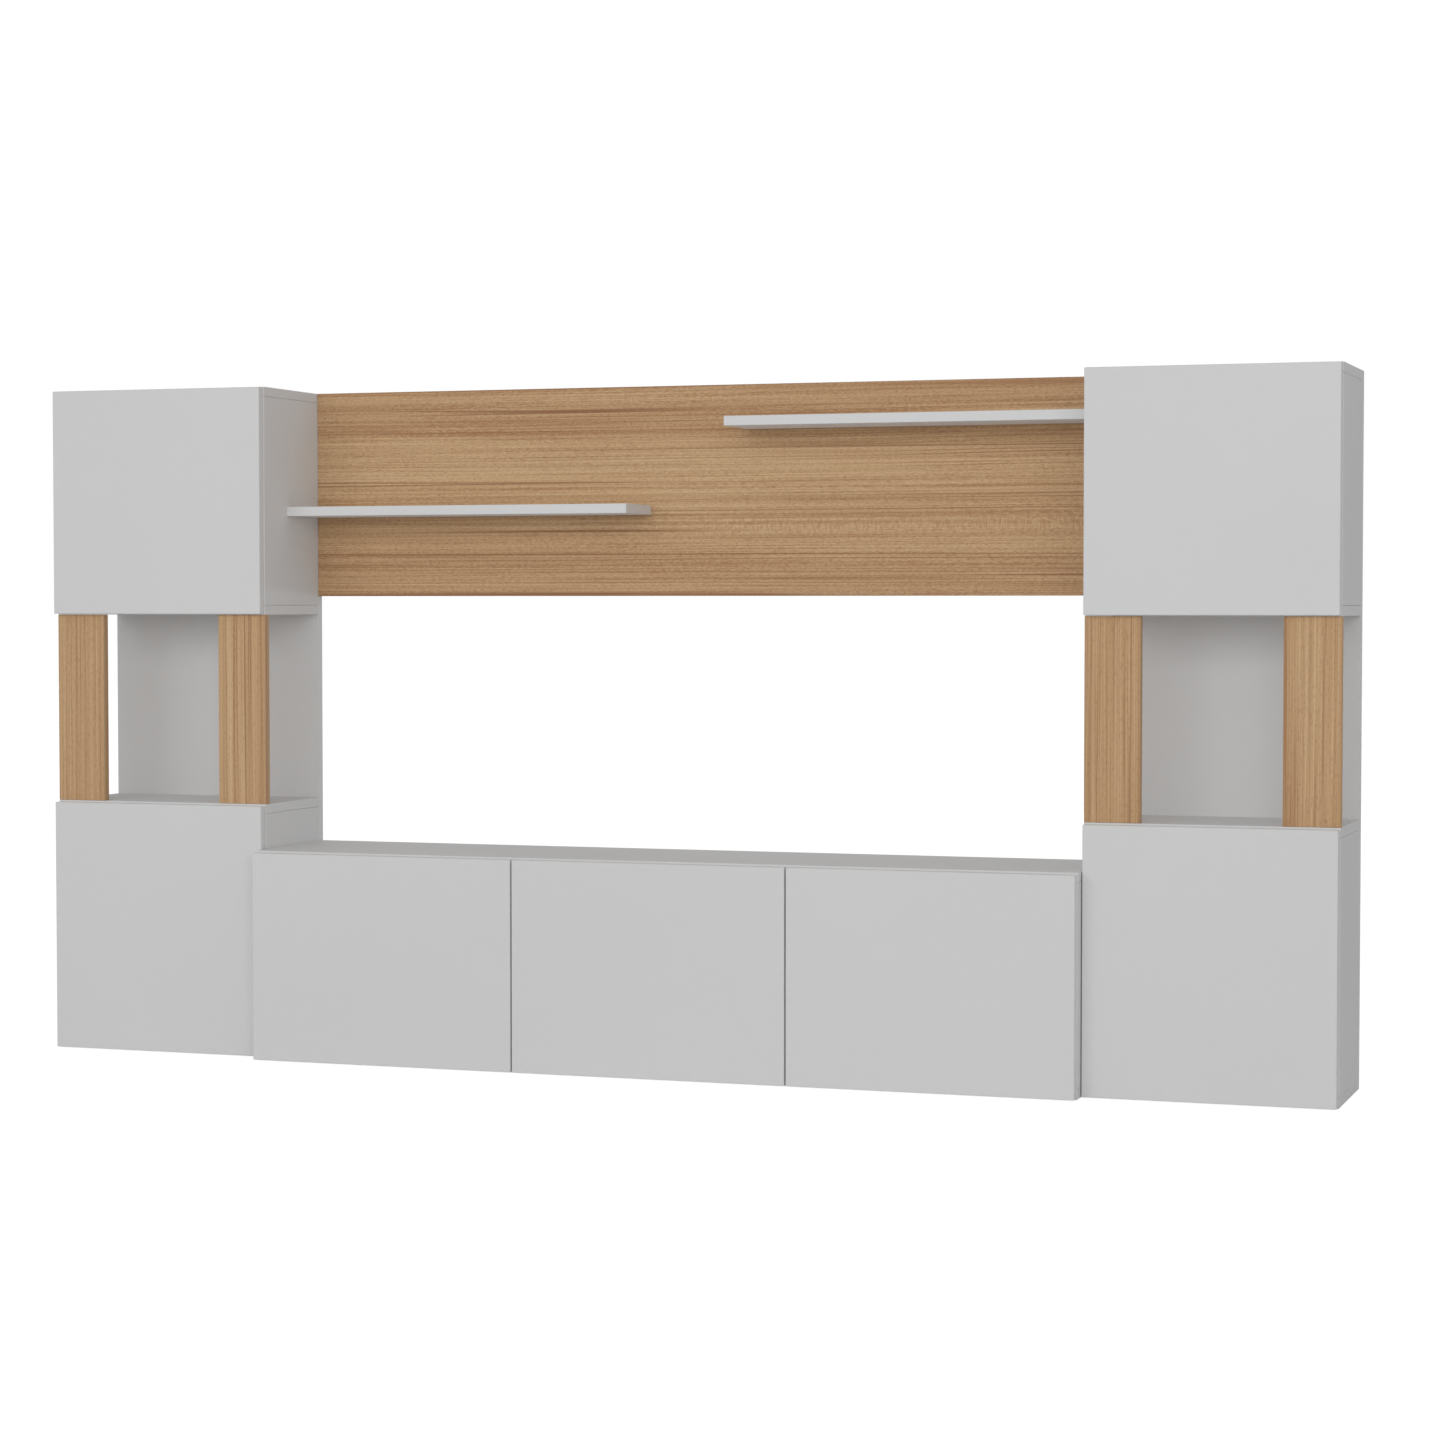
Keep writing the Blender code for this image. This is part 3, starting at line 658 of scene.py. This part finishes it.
# %% Moulded plastic group
SPARK_CYCLES = 3800
SPARK_ROUGHNESS = (0.42, 0.54)
FLOW_CYCLES = 240
FLOW_VALUES = (0.92, 1.05)
moulded_plastic, takes, gives = make_group(
    "moulded_plastic",
    [("Place", VECTOR, (0, 0, 0)), ("Tint", COLOUR, (0.5, 0.5, 0.5, 1))],
    [("Color", COLOUR), ("Roughness", FLOAT), ("Height", FLOAT)],
)
tree = moulded_plastic
spark = noise(tree, takes["Place"], SPARK_CYCLES, detail=1.5)
flow = noise(tree, takes["Place"], FLOW_CYCLES)
inputs = {"Color": takes["Tint"], "Value": fade(tree, flow, *NOISE_WIDE, *FLOW_VALUES)}
feed(
    tree, gives,
    Color=add_node(tree, "ShaderNodeHueSaturation", inputs).outputs[0],
    Roughness=fade(tree, spark, *NOISE_WIDE, *SPARK_ROUGHNESS),
    Height=spark,
)
print("group", moulded_plastic.name)

# %% Steel and plastic materials
STEEL_RELIEF = 0.000006
PLASTIC_RELIEF = 0.00001
PLASTIC_ROUGHNESS = 0.48
PLASTIC_GLOSS = 0.4


def finish_from(made, group, relief, **values):
    """A fresh material, as make_material gives it, takes its colour, roughness and relief from a group."""
    material, tree, shader, place = made
    surface = use_group(tree, group, Place=place, **values)
    feed(tree, shader.inputs, Base_Color=surface["Color"], Roughness=surface["Roughness"])
    add_bump(tree, shader, surface["Height"], relief)
    return material


def make_steel(name, shine):
    """Plated steel of one shine."""
    return finish_from(make_material(name, shine, metallic=1.0), plated_steel, STEEL_RELIEF, Shine=shine)


def make_plastic(name, tint):
    """Moulded plastic of one tint."""
    made = make_material(name, PLASTIC_ROUGHNESS, specular=PLASTIC_GLOSS)
    return finish_from(made, moulded_plastic, PLASTIC_RELIEF, Tint=tint)


hinge_steel = make_steel("hinge_steel", shine=0.26)
screw_steel = make_steel("screw_steel", shine=0.20)
grey_plastic = make_plastic("grey_latch_plastic", tint=(0.30, 0.30, 0.31, 1))
white_plastic = make_plastic("white_cap_plastic", tint=(0.66, 0.66, 0.66, 1))
arms = [name for name in solids if name.endswith("_hinge_arm")]
for name in arms:
    finish_solid(name, hinge_steel)
print("steel on", len(arms), "hinge arms")

# %% [markdown]
# ## Surfaces from arrays
# The small fittings need finer shapes than the solids have. Each is a grid of points worked out in one
# go with numpy. A turned part is a profile carried round an axis. A pressed plate is an outline carried
# up through a few levels. A screw's head is a dome on a polar grid, pressed in where the driver's cross
# goes. Modelling them by hand would give the same, but could not follow if a hinge moved.

# %% Turned parts and plates
def round_faces(index):
    """Faces between the rows of a grid of point numbers, closed sideways. A row of one point is a pole."""
    beside = np.roll(index, -1, axis=1)
    quads = np.stack([index[:-1], beside[:-1], beside[1:], index[1:]], -1).reshape(-1, 4)
    low_pole = quads[:, 0] == quads[:, 1]
    high_pole = quads[:, 2] == quads[:, 3]
    return [quads[~low_pole & ~high_pole], quads[low_pole][:, [0, 2, 3]], quads[high_pole][:, :3]]


def turned(profile, sides=32):
    """A profile of radius and height, from the bottom up, carried round Z.

    Point (i, j) lies at radius r_i and height h_i, turned by j / sides of a full turn.
    """
    radius, height = np.asarray(profile, float).T
    turn = 2 * np.pi * np.arange(sides) / sides
    x = np.outer(radius, np.cos(turn))
    y = np.outer(radius, np.sin(turn))
    points = np.stack([x, y, np.repeat(height[:, None], sides, 1)], -1)
    index = np.arange(points.size // 3).reshape(-1, sides)
    index = np.where(radius[:, None] == 0, index[:, :1], index)
    return points.reshape(-1, 3), round_faces(index)


def ring(profile, sides=32):
    """A closed profile carried round Z, as a collar or a cap with a hole."""
    points, _ = turned(profile, sides)
    index = np.arange(len(points)).reshape(-1, sides)
    return points, round_faces(np.vstack([index, index[:1]]))


def plate(outline, levels):
    """A flat outline carried up through levels of offset and height, and closed below and above.

    Point (i, j) is outline point j, moved out by offset i along the outline's normal, at height i.
    """
    outline = np.asarray(outline, float)
    along = np.roll(outline, -1, 0) - np.roll(outline, 1, 0)
    normal = np.stack([along[:, 1], -along[:, 0]], -1) / np.linalg.norm(along, axis=1)[:, None]
    offset, height = np.asarray(levels, float).T
    flat = outline[None] + offset[:, None, None] * normal[None]
    points = np.concatenate([flat, np.broadcast_to(height[:, None, None], flat.shape[:2] + (1,))], -1)
    index = np.arange(points.size // 3).reshape(len(levels), -1)
    return points.reshape(-1, 3), round_faces(index)[:1] + [index[:1, ::-1], index[-1:]]


print("turned parts and plates ready")

# %% Screw heads
# The driver's cross, in shares of the head's radius: half its bar's width and its bar's reach, each with
# the slope that leads down from it. Its depth is a share of the head's rise.
CROSS_HALF_WIDTH, CROSS_SIDE_SLOPE = 0.24, 0.12
CROSS_REACH, CROSS_END_SLOPE = 0.68, 0.14
CROSS_DEPTH = 0.55
DOME = 0.8
INNER_RING = 0.08


def ease(value):
    """A smooth step from 0 to 1: 3 t^2 - 2 t^3 on the clipped value."""
    t = np.clip(value, 0, 1)
    return t * t * (3 - 2 * t)


def screw_head(radius, rise, skirt=0.0002, rings=9, sides=32):
    """A domed screw head with a cross recess, on a polar grid about Z, standing on its underside at 0.

    The height is rise times the root of 1 - (0.8 r)^2, less the cross. The cross has its full depth
    where the smaller of |x| and |y| is under 0.12 of the radius and the larger one under 0.54. It ends
    at 0.24 sideways and at 0.68 along its bars.
    """
    share = np.concatenate([[0], np.linspace(INNER_RING, 1, rings - 1)])
    turn = 2 * np.pi * np.arange(sides) / sides
    x = np.outer(share, np.cos(turn))
    y = np.outer(share, np.sin(turn))
    narrow = ease((CROSS_HALF_WIDTH - np.minimum(abs(x), abs(y))) / CROSS_SIDE_SLOPE)
    short = ease((CROSS_REACH - np.maximum(abs(x), abs(y))) / CROSS_END_SLOPE)
    top = rise * (np.sqrt(1 - (DOME * share[:, None]) ** 2) - CROSS_DEPTH * narrow * short)
    cap = np.stack([x * radius, y * radius, top], -1)[::-1]
    rim = np.stack([x[-1] * radius, y[-1] * radius, np.full(sides, -skirt)], -1)
    foot = np.zeros((1, sides, 3)) - [0, 0, skirt]
    points = np.concatenate([foot, rim[None], cap])
    index = np.arange(points.size // 3).reshape(-1, sides)
    index[0] = index[0, 0]
    index[-1] = index[-1, 0]
    return points.reshape(-1, 3), round_faces(index)


print("a screw head has", len(screw_head(1, 1)[0]), "points")

# %% Placing and joining
def placed(shape, across, up, out, place):
    """A shape moved: its X, Y and Z run along three given directions from a place.

    Each point is x times across, plus y times up, plus z times out, plus the place. Directions that
    mirror the shape turn its faces inside out, so they are turned back.
    """
    points, faces = shape
    turn = np.array([across, up, out], float)
    if np.linalg.det(turn) < 0:
        faces = [face[:, ::-1] for face in faces]
    return points @ turn + np.asarray(place, float), faces


def make_piece(name, shapes, material, body, sharp=40):
    """One mesh from several shapes, shaded smooth under an angle in degrees, riding on a body."""
    points = np.concatenate([shape[0] for shape in shapes])
    starts = np.cumsum([0] + [len(shape[0]) for shape in shapes])
    faces = [face + start for (_, group), start in zip(shapes, starts) for face in group if len(face)]
    used, corners = np.unique(np.concatenate([face.ravel() for face in faces]), return_inverse=True)
    sizes = np.concatenate([np.full(len(face), face.shape[1]) for face in faces])
    mesh = bpy.data.meshes.new(name)
    mesh.vertices.add(len(used))
    mesh.vertices.foreach_set("co", points[used].astype(np.float32).ravel())
    mesh.loops.add(len(corners))
    mesh.loops.foreach_set("vertex_index", corners.astype(np.int32))
    mesh.polygons.add(len(sizes))
    mesh.polygons.foreach_set("loop_start", np.concatenate([[0], np.cumsum(sizes)[:-1]]).astype(np.int32))
    mesh.update(calc_edges=True)
    mesh.validate()
    mesh.shade_smooth()
    mesh.set_sharp_from_angle(angle=math.radians(sharp))
    mesh.materials.append(material)
    piece = bpy.data.objects.new(name, mesh)
    bpy.context.scene.collection.objects.link(piece)
    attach(piece, body)
    return piece


print("placing and joining ready")

# %% [markdown]
# ## Hinge cups
# A concealed hinge has a steel cup pressed into a 35 mm hole in the door, held by two screws through its
# flange. The solid has the cup's hollow, its pin and the flange's block in white board, so the steel is
# made here: a thin liner in the hollow with a rolled lip, the cross pin that the arm's tip hooks on, an
# ear above and an ear below that cover the block, and a screw in each ear. Y is the depth: the door's
# rear face looks to +Y.

# %% Where the hinges are
CUP_FROM_EDGE = 0.0225
HINGE_INSET = 0.09
FLANGE_RISE = 0.0012
# Each hinge has its name, its door, the door's edge it sits at, the way inward from there, the depth of
# the door's rear face, which the flange's block stands proud of, and its level.
hinges = []
for joint in frame["record"]["behaviour"]["joints"]:
    if joint["type"] != "hinge":
        continue
    door = joint["child"]
    low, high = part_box(door)
    inward = -1 if joint["axis"][2] > 0 else 1
    edge = low[0] if inward > 0 else high[0]
    for end, level in (("bottom", low[2] + HINGE_INSET), ("top", high[2] - HINGE_INSET)):
        name = door.removesuffix("_door") + "_" + end
        hinges.append((name, door, edge, inward, high[1] - FLANGE_RISE, level))
print(len(hinges), "hinges")

# %% Liner and pin
LINER = [
    (0, -0.01145), (0.0158, -0.01145), (0.0164, -0.0109), (0.0164, 0.00005), (0.0176, 0.00005),
    (0.0178, 0.00012), (0.0176, 0.00022), (0.0166, 0.00026), (0.0162, 0.00012), (0.01605, -0.0003),
    (0.01605, -0.0106), (0.0154, -0.0112), (0, -0.0112),
]
PIN_RADIUS = 0.00125
PIN_HALF = 0.0130
PIN_FROM_MIDDLE = 0.009
PIN_DEPTH = 0.005
liner = turned(LINER, sides=48)
pin = turned([(0, -PIN_HALF), (PIN_RADIUS, -PIN_HALF), (PIN_RADIUS, PIN_HALF), (0, PIN_HALF)], sides=20)
print("the liner has", len(liner[0]), "points, the pin", len(pin[0]))

# %% Ear and its screw
# The ear's outline, seen from behind the door: two rounded outer corners, and the cup's circle cut out
# of its root. Zero is the cup's middle, and flange_shift is how far the ear's middle lies beyond it.
FLANGE_FROM_EDGE = 0.028
EAR_HALF_WIDTH = 0.00815
EAR_REACH = 0.0282
EAR_CORNER = 0.0042
EAR_CUT = 0.01645
EAR_LEVELS = [(0, 0.00004), (0, 0.00105), (-0.0001, 0.00128), (-0.0003, 0.0014)]
EAR_SCREW_LEVEL = 0.0226
flange_shift = FLANGE_FROM_EDGE - CUP_FROM_EDGE
arc = np.linspace(0, np.pi / 2, 7)
corner_x = flange_shift + EAR_HALF_WIDTH - EAR_CORNER + EAR_CORNER * np.cos(arc)
corner_y = EAR_REACH - EAR_CORNER + EAR_CORNER * np.sin(arc)
right_corner = np.stack([corner_x, corner_y], -1)
left_corner = (right_corner * [-1, 1] + [2 * flange_shift, 0])[::-1]
cut_x = np.linspace(flange_shift + EAR_HALF_WIDTH, flange_shift - EAR_HALF_WIDTH, 13)
cut_turn = np.arcsin(cut_x / EAR_CUT)
cut = np.stack([EAR_CUT * np.sin(cut_turn), EAR_CUT * np.cos(cut_turn)], -1)
ear = plate(np.concatenate([right_corner, left_corner, cut[::-1]]), EAR_LEVELS)
ear_screw = screw_head(radius=0.0034, rise=0.0009)
print("the ear has", len(ear[0]), "points")

# %% Hinge cups
for name, door, edge, inward, rear, level in hinges:
    middle = np.array((edge + inward * CUP_FROM_EDGE, rear, level))
    pin_middle = middle - (inward * PIN_FROM_MIDDLE, PIN_DEPTH, 0)
    shapes = [placed(liner, (1, 0, 0), (0, 0, -1), (0, 1, 0), middle)]
    shapes.append(placed(pin, (1, 0, 0), (0, 1, 0), (0, 0, 1), pin_middle))
    screws = []
    for up in (-1, 1):
        shapes.append(placed(ear, (inward, 0, 0), (0, 0, up), (0, 1, 0), middle))
        seat = (edge + inward * FLANGE_FROM_EDGE, rear + EAR_LEVELS[-1][1], level + up * EAR_SCREW_LEVEL)
        screws.append(placed(ear_screw, (1, 0, 0), (0, 0, -1), (0, 1, 0), seat))
    make_piece(name + "_hinge_cup", shapes, hinge_steel, door)
    make_piece(name + "_cup_screws", screws, screw_steel, door, sharp=60)
print(len(hinges), "cups with their screws")

# %% [markdown]
# ## Hinge arm screws
# The mounting plate sits on the cabinet's side with a screw through each wing, 32 mm apart, as on every
# such plate. On the arm itself, the screw near the front sets the door sideways, and the one in the slot
# clamps the arm. Each head looks off the side panel, along X, and sits on the plate or on the arm's roof,
# which slopes down towards the rear.

# %% Hinge arm screws
# How far the arm's tip stands out in front of the cabinet, and the screws' places from the arm's middle.
TIP_REACH = 0.006
WING_SCREW_LEVEL = 0.016
# The roof's ends: the way back from the cabinet's front, and the height above the side panel.
ROOF_FRONT = (0.022, 0.013)
ROOF_REAR = (0.068, 0.007)
HEAD_SUNK = 0.0003
HEAD_SKIRT = 0.0006


def roof_height(reach):
    """The arm's roof above the side panel, on the straight line between its shoulder and its heel."""
    return float(np.interp(reach, [ROOF_FRONT[0], ROOF_REAR[0]], [ROOF_FRONT[1], ROOF_REAR[1]]))


# Each screw's way back from the cabinet's front, its seat above the side panel, its head's radius and
# rise, and whether it is below, on or above the arm's middle.
ARM_SCREWS = (
    (0.037, 0.003, 0.0038, 0.0014, -1),
    (0.037, 0.003, 0.0038, 0.0014, 1),
    (0.031, roof_height(0.031) - 0.0012, 0.0027, 0.0008, 0),
    (0.054, roof_height(0.054) - 0.0003, 0.0042, 0.0018, 0),
)


def add_arm_screws(name, off):
    """The four screws of one hinge arm, found from the arm's own box. off is the way off its panel."""
    low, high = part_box(name)
    front = low[1] + TIP_REACH
    level = (low[2] + high[2]) / 2
    face = low[0] if off > 0 else high[0]
    shapes = []
    for reach, height, radius, rise, up in ARM_SCREWS:
        seat = (face + off * (height - HEAD_SUNK), front + reach, level + up * WING_SCREW_LEVEL)
        head = screw_head(radius, rise, HEAD_SKIRT)
        shapes.append(placed(head, (0, 1, 0), (0, 0, off), (off, 0, 0), seat))
    make_piece(name.replace("_arm", "_arm_screws"), shapes, screw_steel, "unit", sharp=60)


for name, _, _, inward, _, _ in hinges:
    add_arm_screws(name + "_hinge_arm", inward)
print(len(hinges), "arms with their screws")

# %% [markdown]
# ## Push latches
# With no handles, each door is opened by a push: the latch's plunger then springs forward and hands the
# door to the fingers. The plunger is a moulded pin with a rounded nose a hair thinner than its shank, and
# a shallow groove behind it where the mould parts. A flat collar closes the bore's mouth in the board's
# edge. The solid plunger has the plain shape, so a finer one stands in for it and rides with it.

# %% Push latches
REAR_BEVEL = 0.0004
GROOVE_DEPTH = 0.00035
NOSE_THINNER = 0.0002
NOSE_LENGTH = 0.0014
# Places behind the tip: where the groove goes down and comes up again, and where the nose steps in.
GROOVE_DOWN, GROOVE_UP, NOSE_STEP = (0.0062, 0.0058), (0.0052, 0.0048), (0.0026, 0.0024)
COLLAR = [
    (0.0043, -0.0015), (0.0054, -0.0015), (0.0054, 0.00002),
    (0.0052, 0.00008), (0.0045, 0.00008), (0.0043, 0.00002),
]


def plunger_profile(radius, length):
    """The plunger's radius and height from its rear end up to its tip, which is at height 0.

    The nose is a quarter of an ellipse: its radius times the cosine, and its length times the sine less 1.
    """
    floor_radius = radius - GROOVE_DEPTH
    nose_radius = radius - NOSE_THINNER
    shank = [
        (0, -length), (radius - REAR_BEVEL, -length), (radius, -length + REAR_BEVEL),
        (radius, -GROOVE_DOWN[0]), (floor_radius, -GROOVE_DOWN[1]),
        (floor_radius, -GROOVE_UP[0]), (radius, -GROOVE_UP[1]),
        (radius, -NOSE_STEP[0]), (nose_radius, -NOSE_STEP[1]),
    ]
    arc = np.linspace(0, np.pi / 2, 9)
    nose = np.stack([nose_radius * np.cos(arc), -NOSE_LENGTH + NOSE_LENGTH * np.sin(arc)], -1)
    nose[-1, 0] = 0
    return shank + nose.tolist()


plungers = [name for name in solids if name.endswith("_latch_plunger")]
for name in plungers:
    low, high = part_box(name)
    tip = np.array(((low[0] + high[0]) / 2, low[1], (low[2] + high[2]) / 2))
    plunger = turned(plunger_profile((high[2] - low[2]) / 2, high[1] - low[1]))
    shape = placed(plunger, (1, 0, 0), (0, 0, 1), (0, -1, 0), tip)
    piece = make_piece(name + "_pin", [shape], grey_plastic, name)
    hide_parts(name)
    shape = placed(ring(COLLAR), (1, 0, 0), (0, 0, 1), (0, -1, 0), tip)
    make_piece(name.replace("_plunger", "_collar"), [shape], grey_plastic, "unit")
print(len(plungers), "latches")

# %% [markdown]
# ## Cam covers
# The boards are held by cam locks: a bolt in one board and a turning cam in the other, just in from the
# joint. What shows inside a cabinet is the white plastic cover in each cam's hole, a shallow dome with a
# rounded rim and a small notch to lift it by. Each side panel has a pair 16 mm from its top and another
# 16 mm from its bottom, one towards the front and one towards the rear.

# %% Cam covers
COVER_RADIUS = 0.0085
COVER_RISE = 0.0008
# The cover's profile in shares of its radius and rise, from the middle of its underside to its crown.
COVER_PROFILE = [
    (0, -0.5), (0.97, -0.5), (1, 0), (1, 0.45), (0.96, 0.66), (0.86, 0.76), (0.6, 0.9), (0.3, 0.98), (0, 1),
]
NOTCH_FROM_MIDDLE = 0.86
NOTCH_SIZE = 0.0012
NOTCH_EDGE = 1.6
NOTCH_DEPTH = 0.0004
CAM_FROM_END = 0.016
CAM_FROM_FRONT = 0.037
CAM_FROM_REAR = 0.040


def make_cam_cover():
    """A shallow dome: its profile carried round Z, less a round notch at its rim.

    The notch's depth is a smooth step of 1.6 less the distance from its middle in notch sizes.
    """
    points, faces = turned(np.array(COVER_PROFILE) * (COVER_RADIUS, COVER_RISE))
    from_notch = np.hypot(points[:, 0] - COVER_RADIUS * NOTCH_FROM_MIDDLE, points[:, 1])
    notch = NOTCH_DEPTH * ease(NOTCH_EDGE - from_notch / NOTCH_SIZE)
    points[:, 2] -= np.where(points[:, 2] > 0, notch, 0)
    return points, faces


def add_cam_covers(node, sides):
    """Covers on one or both faces of an upright board."""
    low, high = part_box(node)
    shapes = []
    for off in sides:
        face = high[0] if off > 0 else low[0]
        for y in (low[1] + CAM_FROM_FRONT, high[1] - CAM_FROM_REAR):
            for z, up in ((low[2] + CAM_FROM_END, -1), (high[2] - CAM_FROM_END, 1)):
                shapes.append(placed(cam_cover, (0, 0, up), (0, -up * off, 0), (off, 0, 0), (face, y, z)))
    make_piece(node + "_cam_covers", shapes, white_plastic, "unit")


cam_cover = make_cam_cover()
# The faces that carry covers: 1 for the one that looks right, -1 for the one that looks left.
covered = {}
for side, off in (("left", 1), ("right", -1)):
    for part in ("lower", "upper"):
        covered[f"{side}_tower_{part}_outer_side"] = (off,)
        covered[f"{side}_tower_{part}_inner_side"] = (-off,)
    covered[f"tv_cabinet_{side}_side"] = (off,)
    covered[f"tv_cabinet_{side}_divider"] = (-1, 1)
for node, sides in covered.items():
    add_cam_covers(node, sides)
print("cam covers on", len(covered), "upright boards")

# %% [markdown]
# ## Light and floor
# The photograph has soft light from all round and a very wide lamp at the front, above eye level: the
# shelves throw a soft shadow a hand's width down the oak, and the ends of the unit are a third darker
# than its doors. A weaker lamp behind, low enough to leave the tops alone, lets the back be looked at too.
# Its beam is narrow, so that the floor just in front of it doesn't glare past the unit's edges.
#
# The photograph's ground is pure white. For the camera the world has a strength of 1, and the floor gives
# back part of its light by itself, so it reaches white and still keeps the unit's shadow. What lights the
# unit is the same floor as plain white paint.

# %% Lamps
AIM = (0, 0, 0.6)


def add_lamp(name, place, width, height, power, spread=180):
    """A broad rectangular lamp that faces the unit, with its beam's spread in degrees."""
    lamp = bpy.data.lights.new(name, "AREA")
    lamp.shape = "RECTANGLE"
    lamp.size = width
    lamp.size_y = height
    lamp.energy = power
    lamp.spread = math.radians(spread)
    lamp_object = bpy.data.objects.new(name, lamp)
    lamp_object.location = place
    lamp_object.rotation_euler = (Vector(AIM) - Vector(place)).to_track_quat("-Z", "Y").to_euler()
    lamp_object.visible_camera = False
    bpy.context.scene.collection.objects.link(lamp_object)


add_lamp("front_lamp", place=(0.7, -8.0, 2.5), width=11.3, height=2.8, power=256)
add_lamp("rear_lamp", place=(0, 8.0, 0.3), width=2.4, height=0.5, power=16, spread=60)
print("two lamps set")

# %% World
ROOM_LIGHT = 0.45
PURE_WHITE = (1, 1, 1, 1)


def looked_at(tree):
    """1 for a ray from the camera, a gloss or a glass, and 0 for the light that falls on things."""
    ray = add_node(tree, "ShaderNodeLightPath").outputs
    seen = calc(tree, "MAXIMUM", ray["Is Camera Ray"], ray["Is Glossy Ray"])
    return calc(tree, "MAXIMUM", seen, ray["Is Transmission Ray"])


world = bpy.data.worlds.new("room")
bpy.context.scene.world = world
world.use_nodes = True
tree = world.node_tree
inputs = {"Value": looked_at(tree), "To Min": ROOM_LIGHT, "To Max": 1.0}
strength = add_node(tree, "ShaderNodeMapRange", inputs).outputs["Result"]
feed(tree, tree.nodes["Background"].inputs, Color=PURE_WHITE, Strength=strength)
print("room light", ROOM_LIGHT)

# %% Floor
FLOOR_REACH = 25.0
FLOOR_LEVEL = -0.0003
PAINT = (0.80, 0.80, 0.80, 1)
THIN_PAINT = (0.42, 0.42, 0.42, 1)
FLOOR_GLOW = 0.84
floor_mesh = bpy.data.meshes.new("floor")
corners = np.array([(-1, -1), (1, -1), (1, 1), (-1, 1)]) * FLOOR_REACH
floor_mesh.from_pydata(np.column_stack([corners, np.full(4, FLOOR_LEVEL)]).tolist(), [], [(0, 1, 2, 3)])
floor = bpy.data.objects.new("floor", floor_mesh)
bpy.context.scene.collection.objects.link(floor)
floor_paint = bpy.data.materials.new("floor_paint")
floor_paint.use_nodes = True
tree = floor_paint.node_tree
tree.nodes.remove(tree.nodes["Principled BSDF"])
paint = add_node(tree, "ShaderNodeBsdfDiffuse", {"Color": PAINT}).outputs[0]
thin_paint = add_node(tree, "ShaderNodeBsdfDiffuse", {"Color": THIN_PAINT}).outputs[0]
glow = add_node(tree, "ShaderNodeEmission", {"Color": PURE_WHITE, "Strength": FLOOR_GLOW}).outputs[0]
lit = add_node(tree, "ShaderNodeAddShader", {0: thin_paint, 1: glow}).outputs[0]
both = add_node(tree, "ShaderNodeMixShader", {0: looked_at(tree), 1: paint, 2: lit}).outputs[0]
tree.links.new(both, tree.nodes["Material Output"].inputs["Surface"])
floor.data.materials.append(floor_paint)

bpy.context.scene.view_settings.view_transform = "Standard"
print("light and floor set")
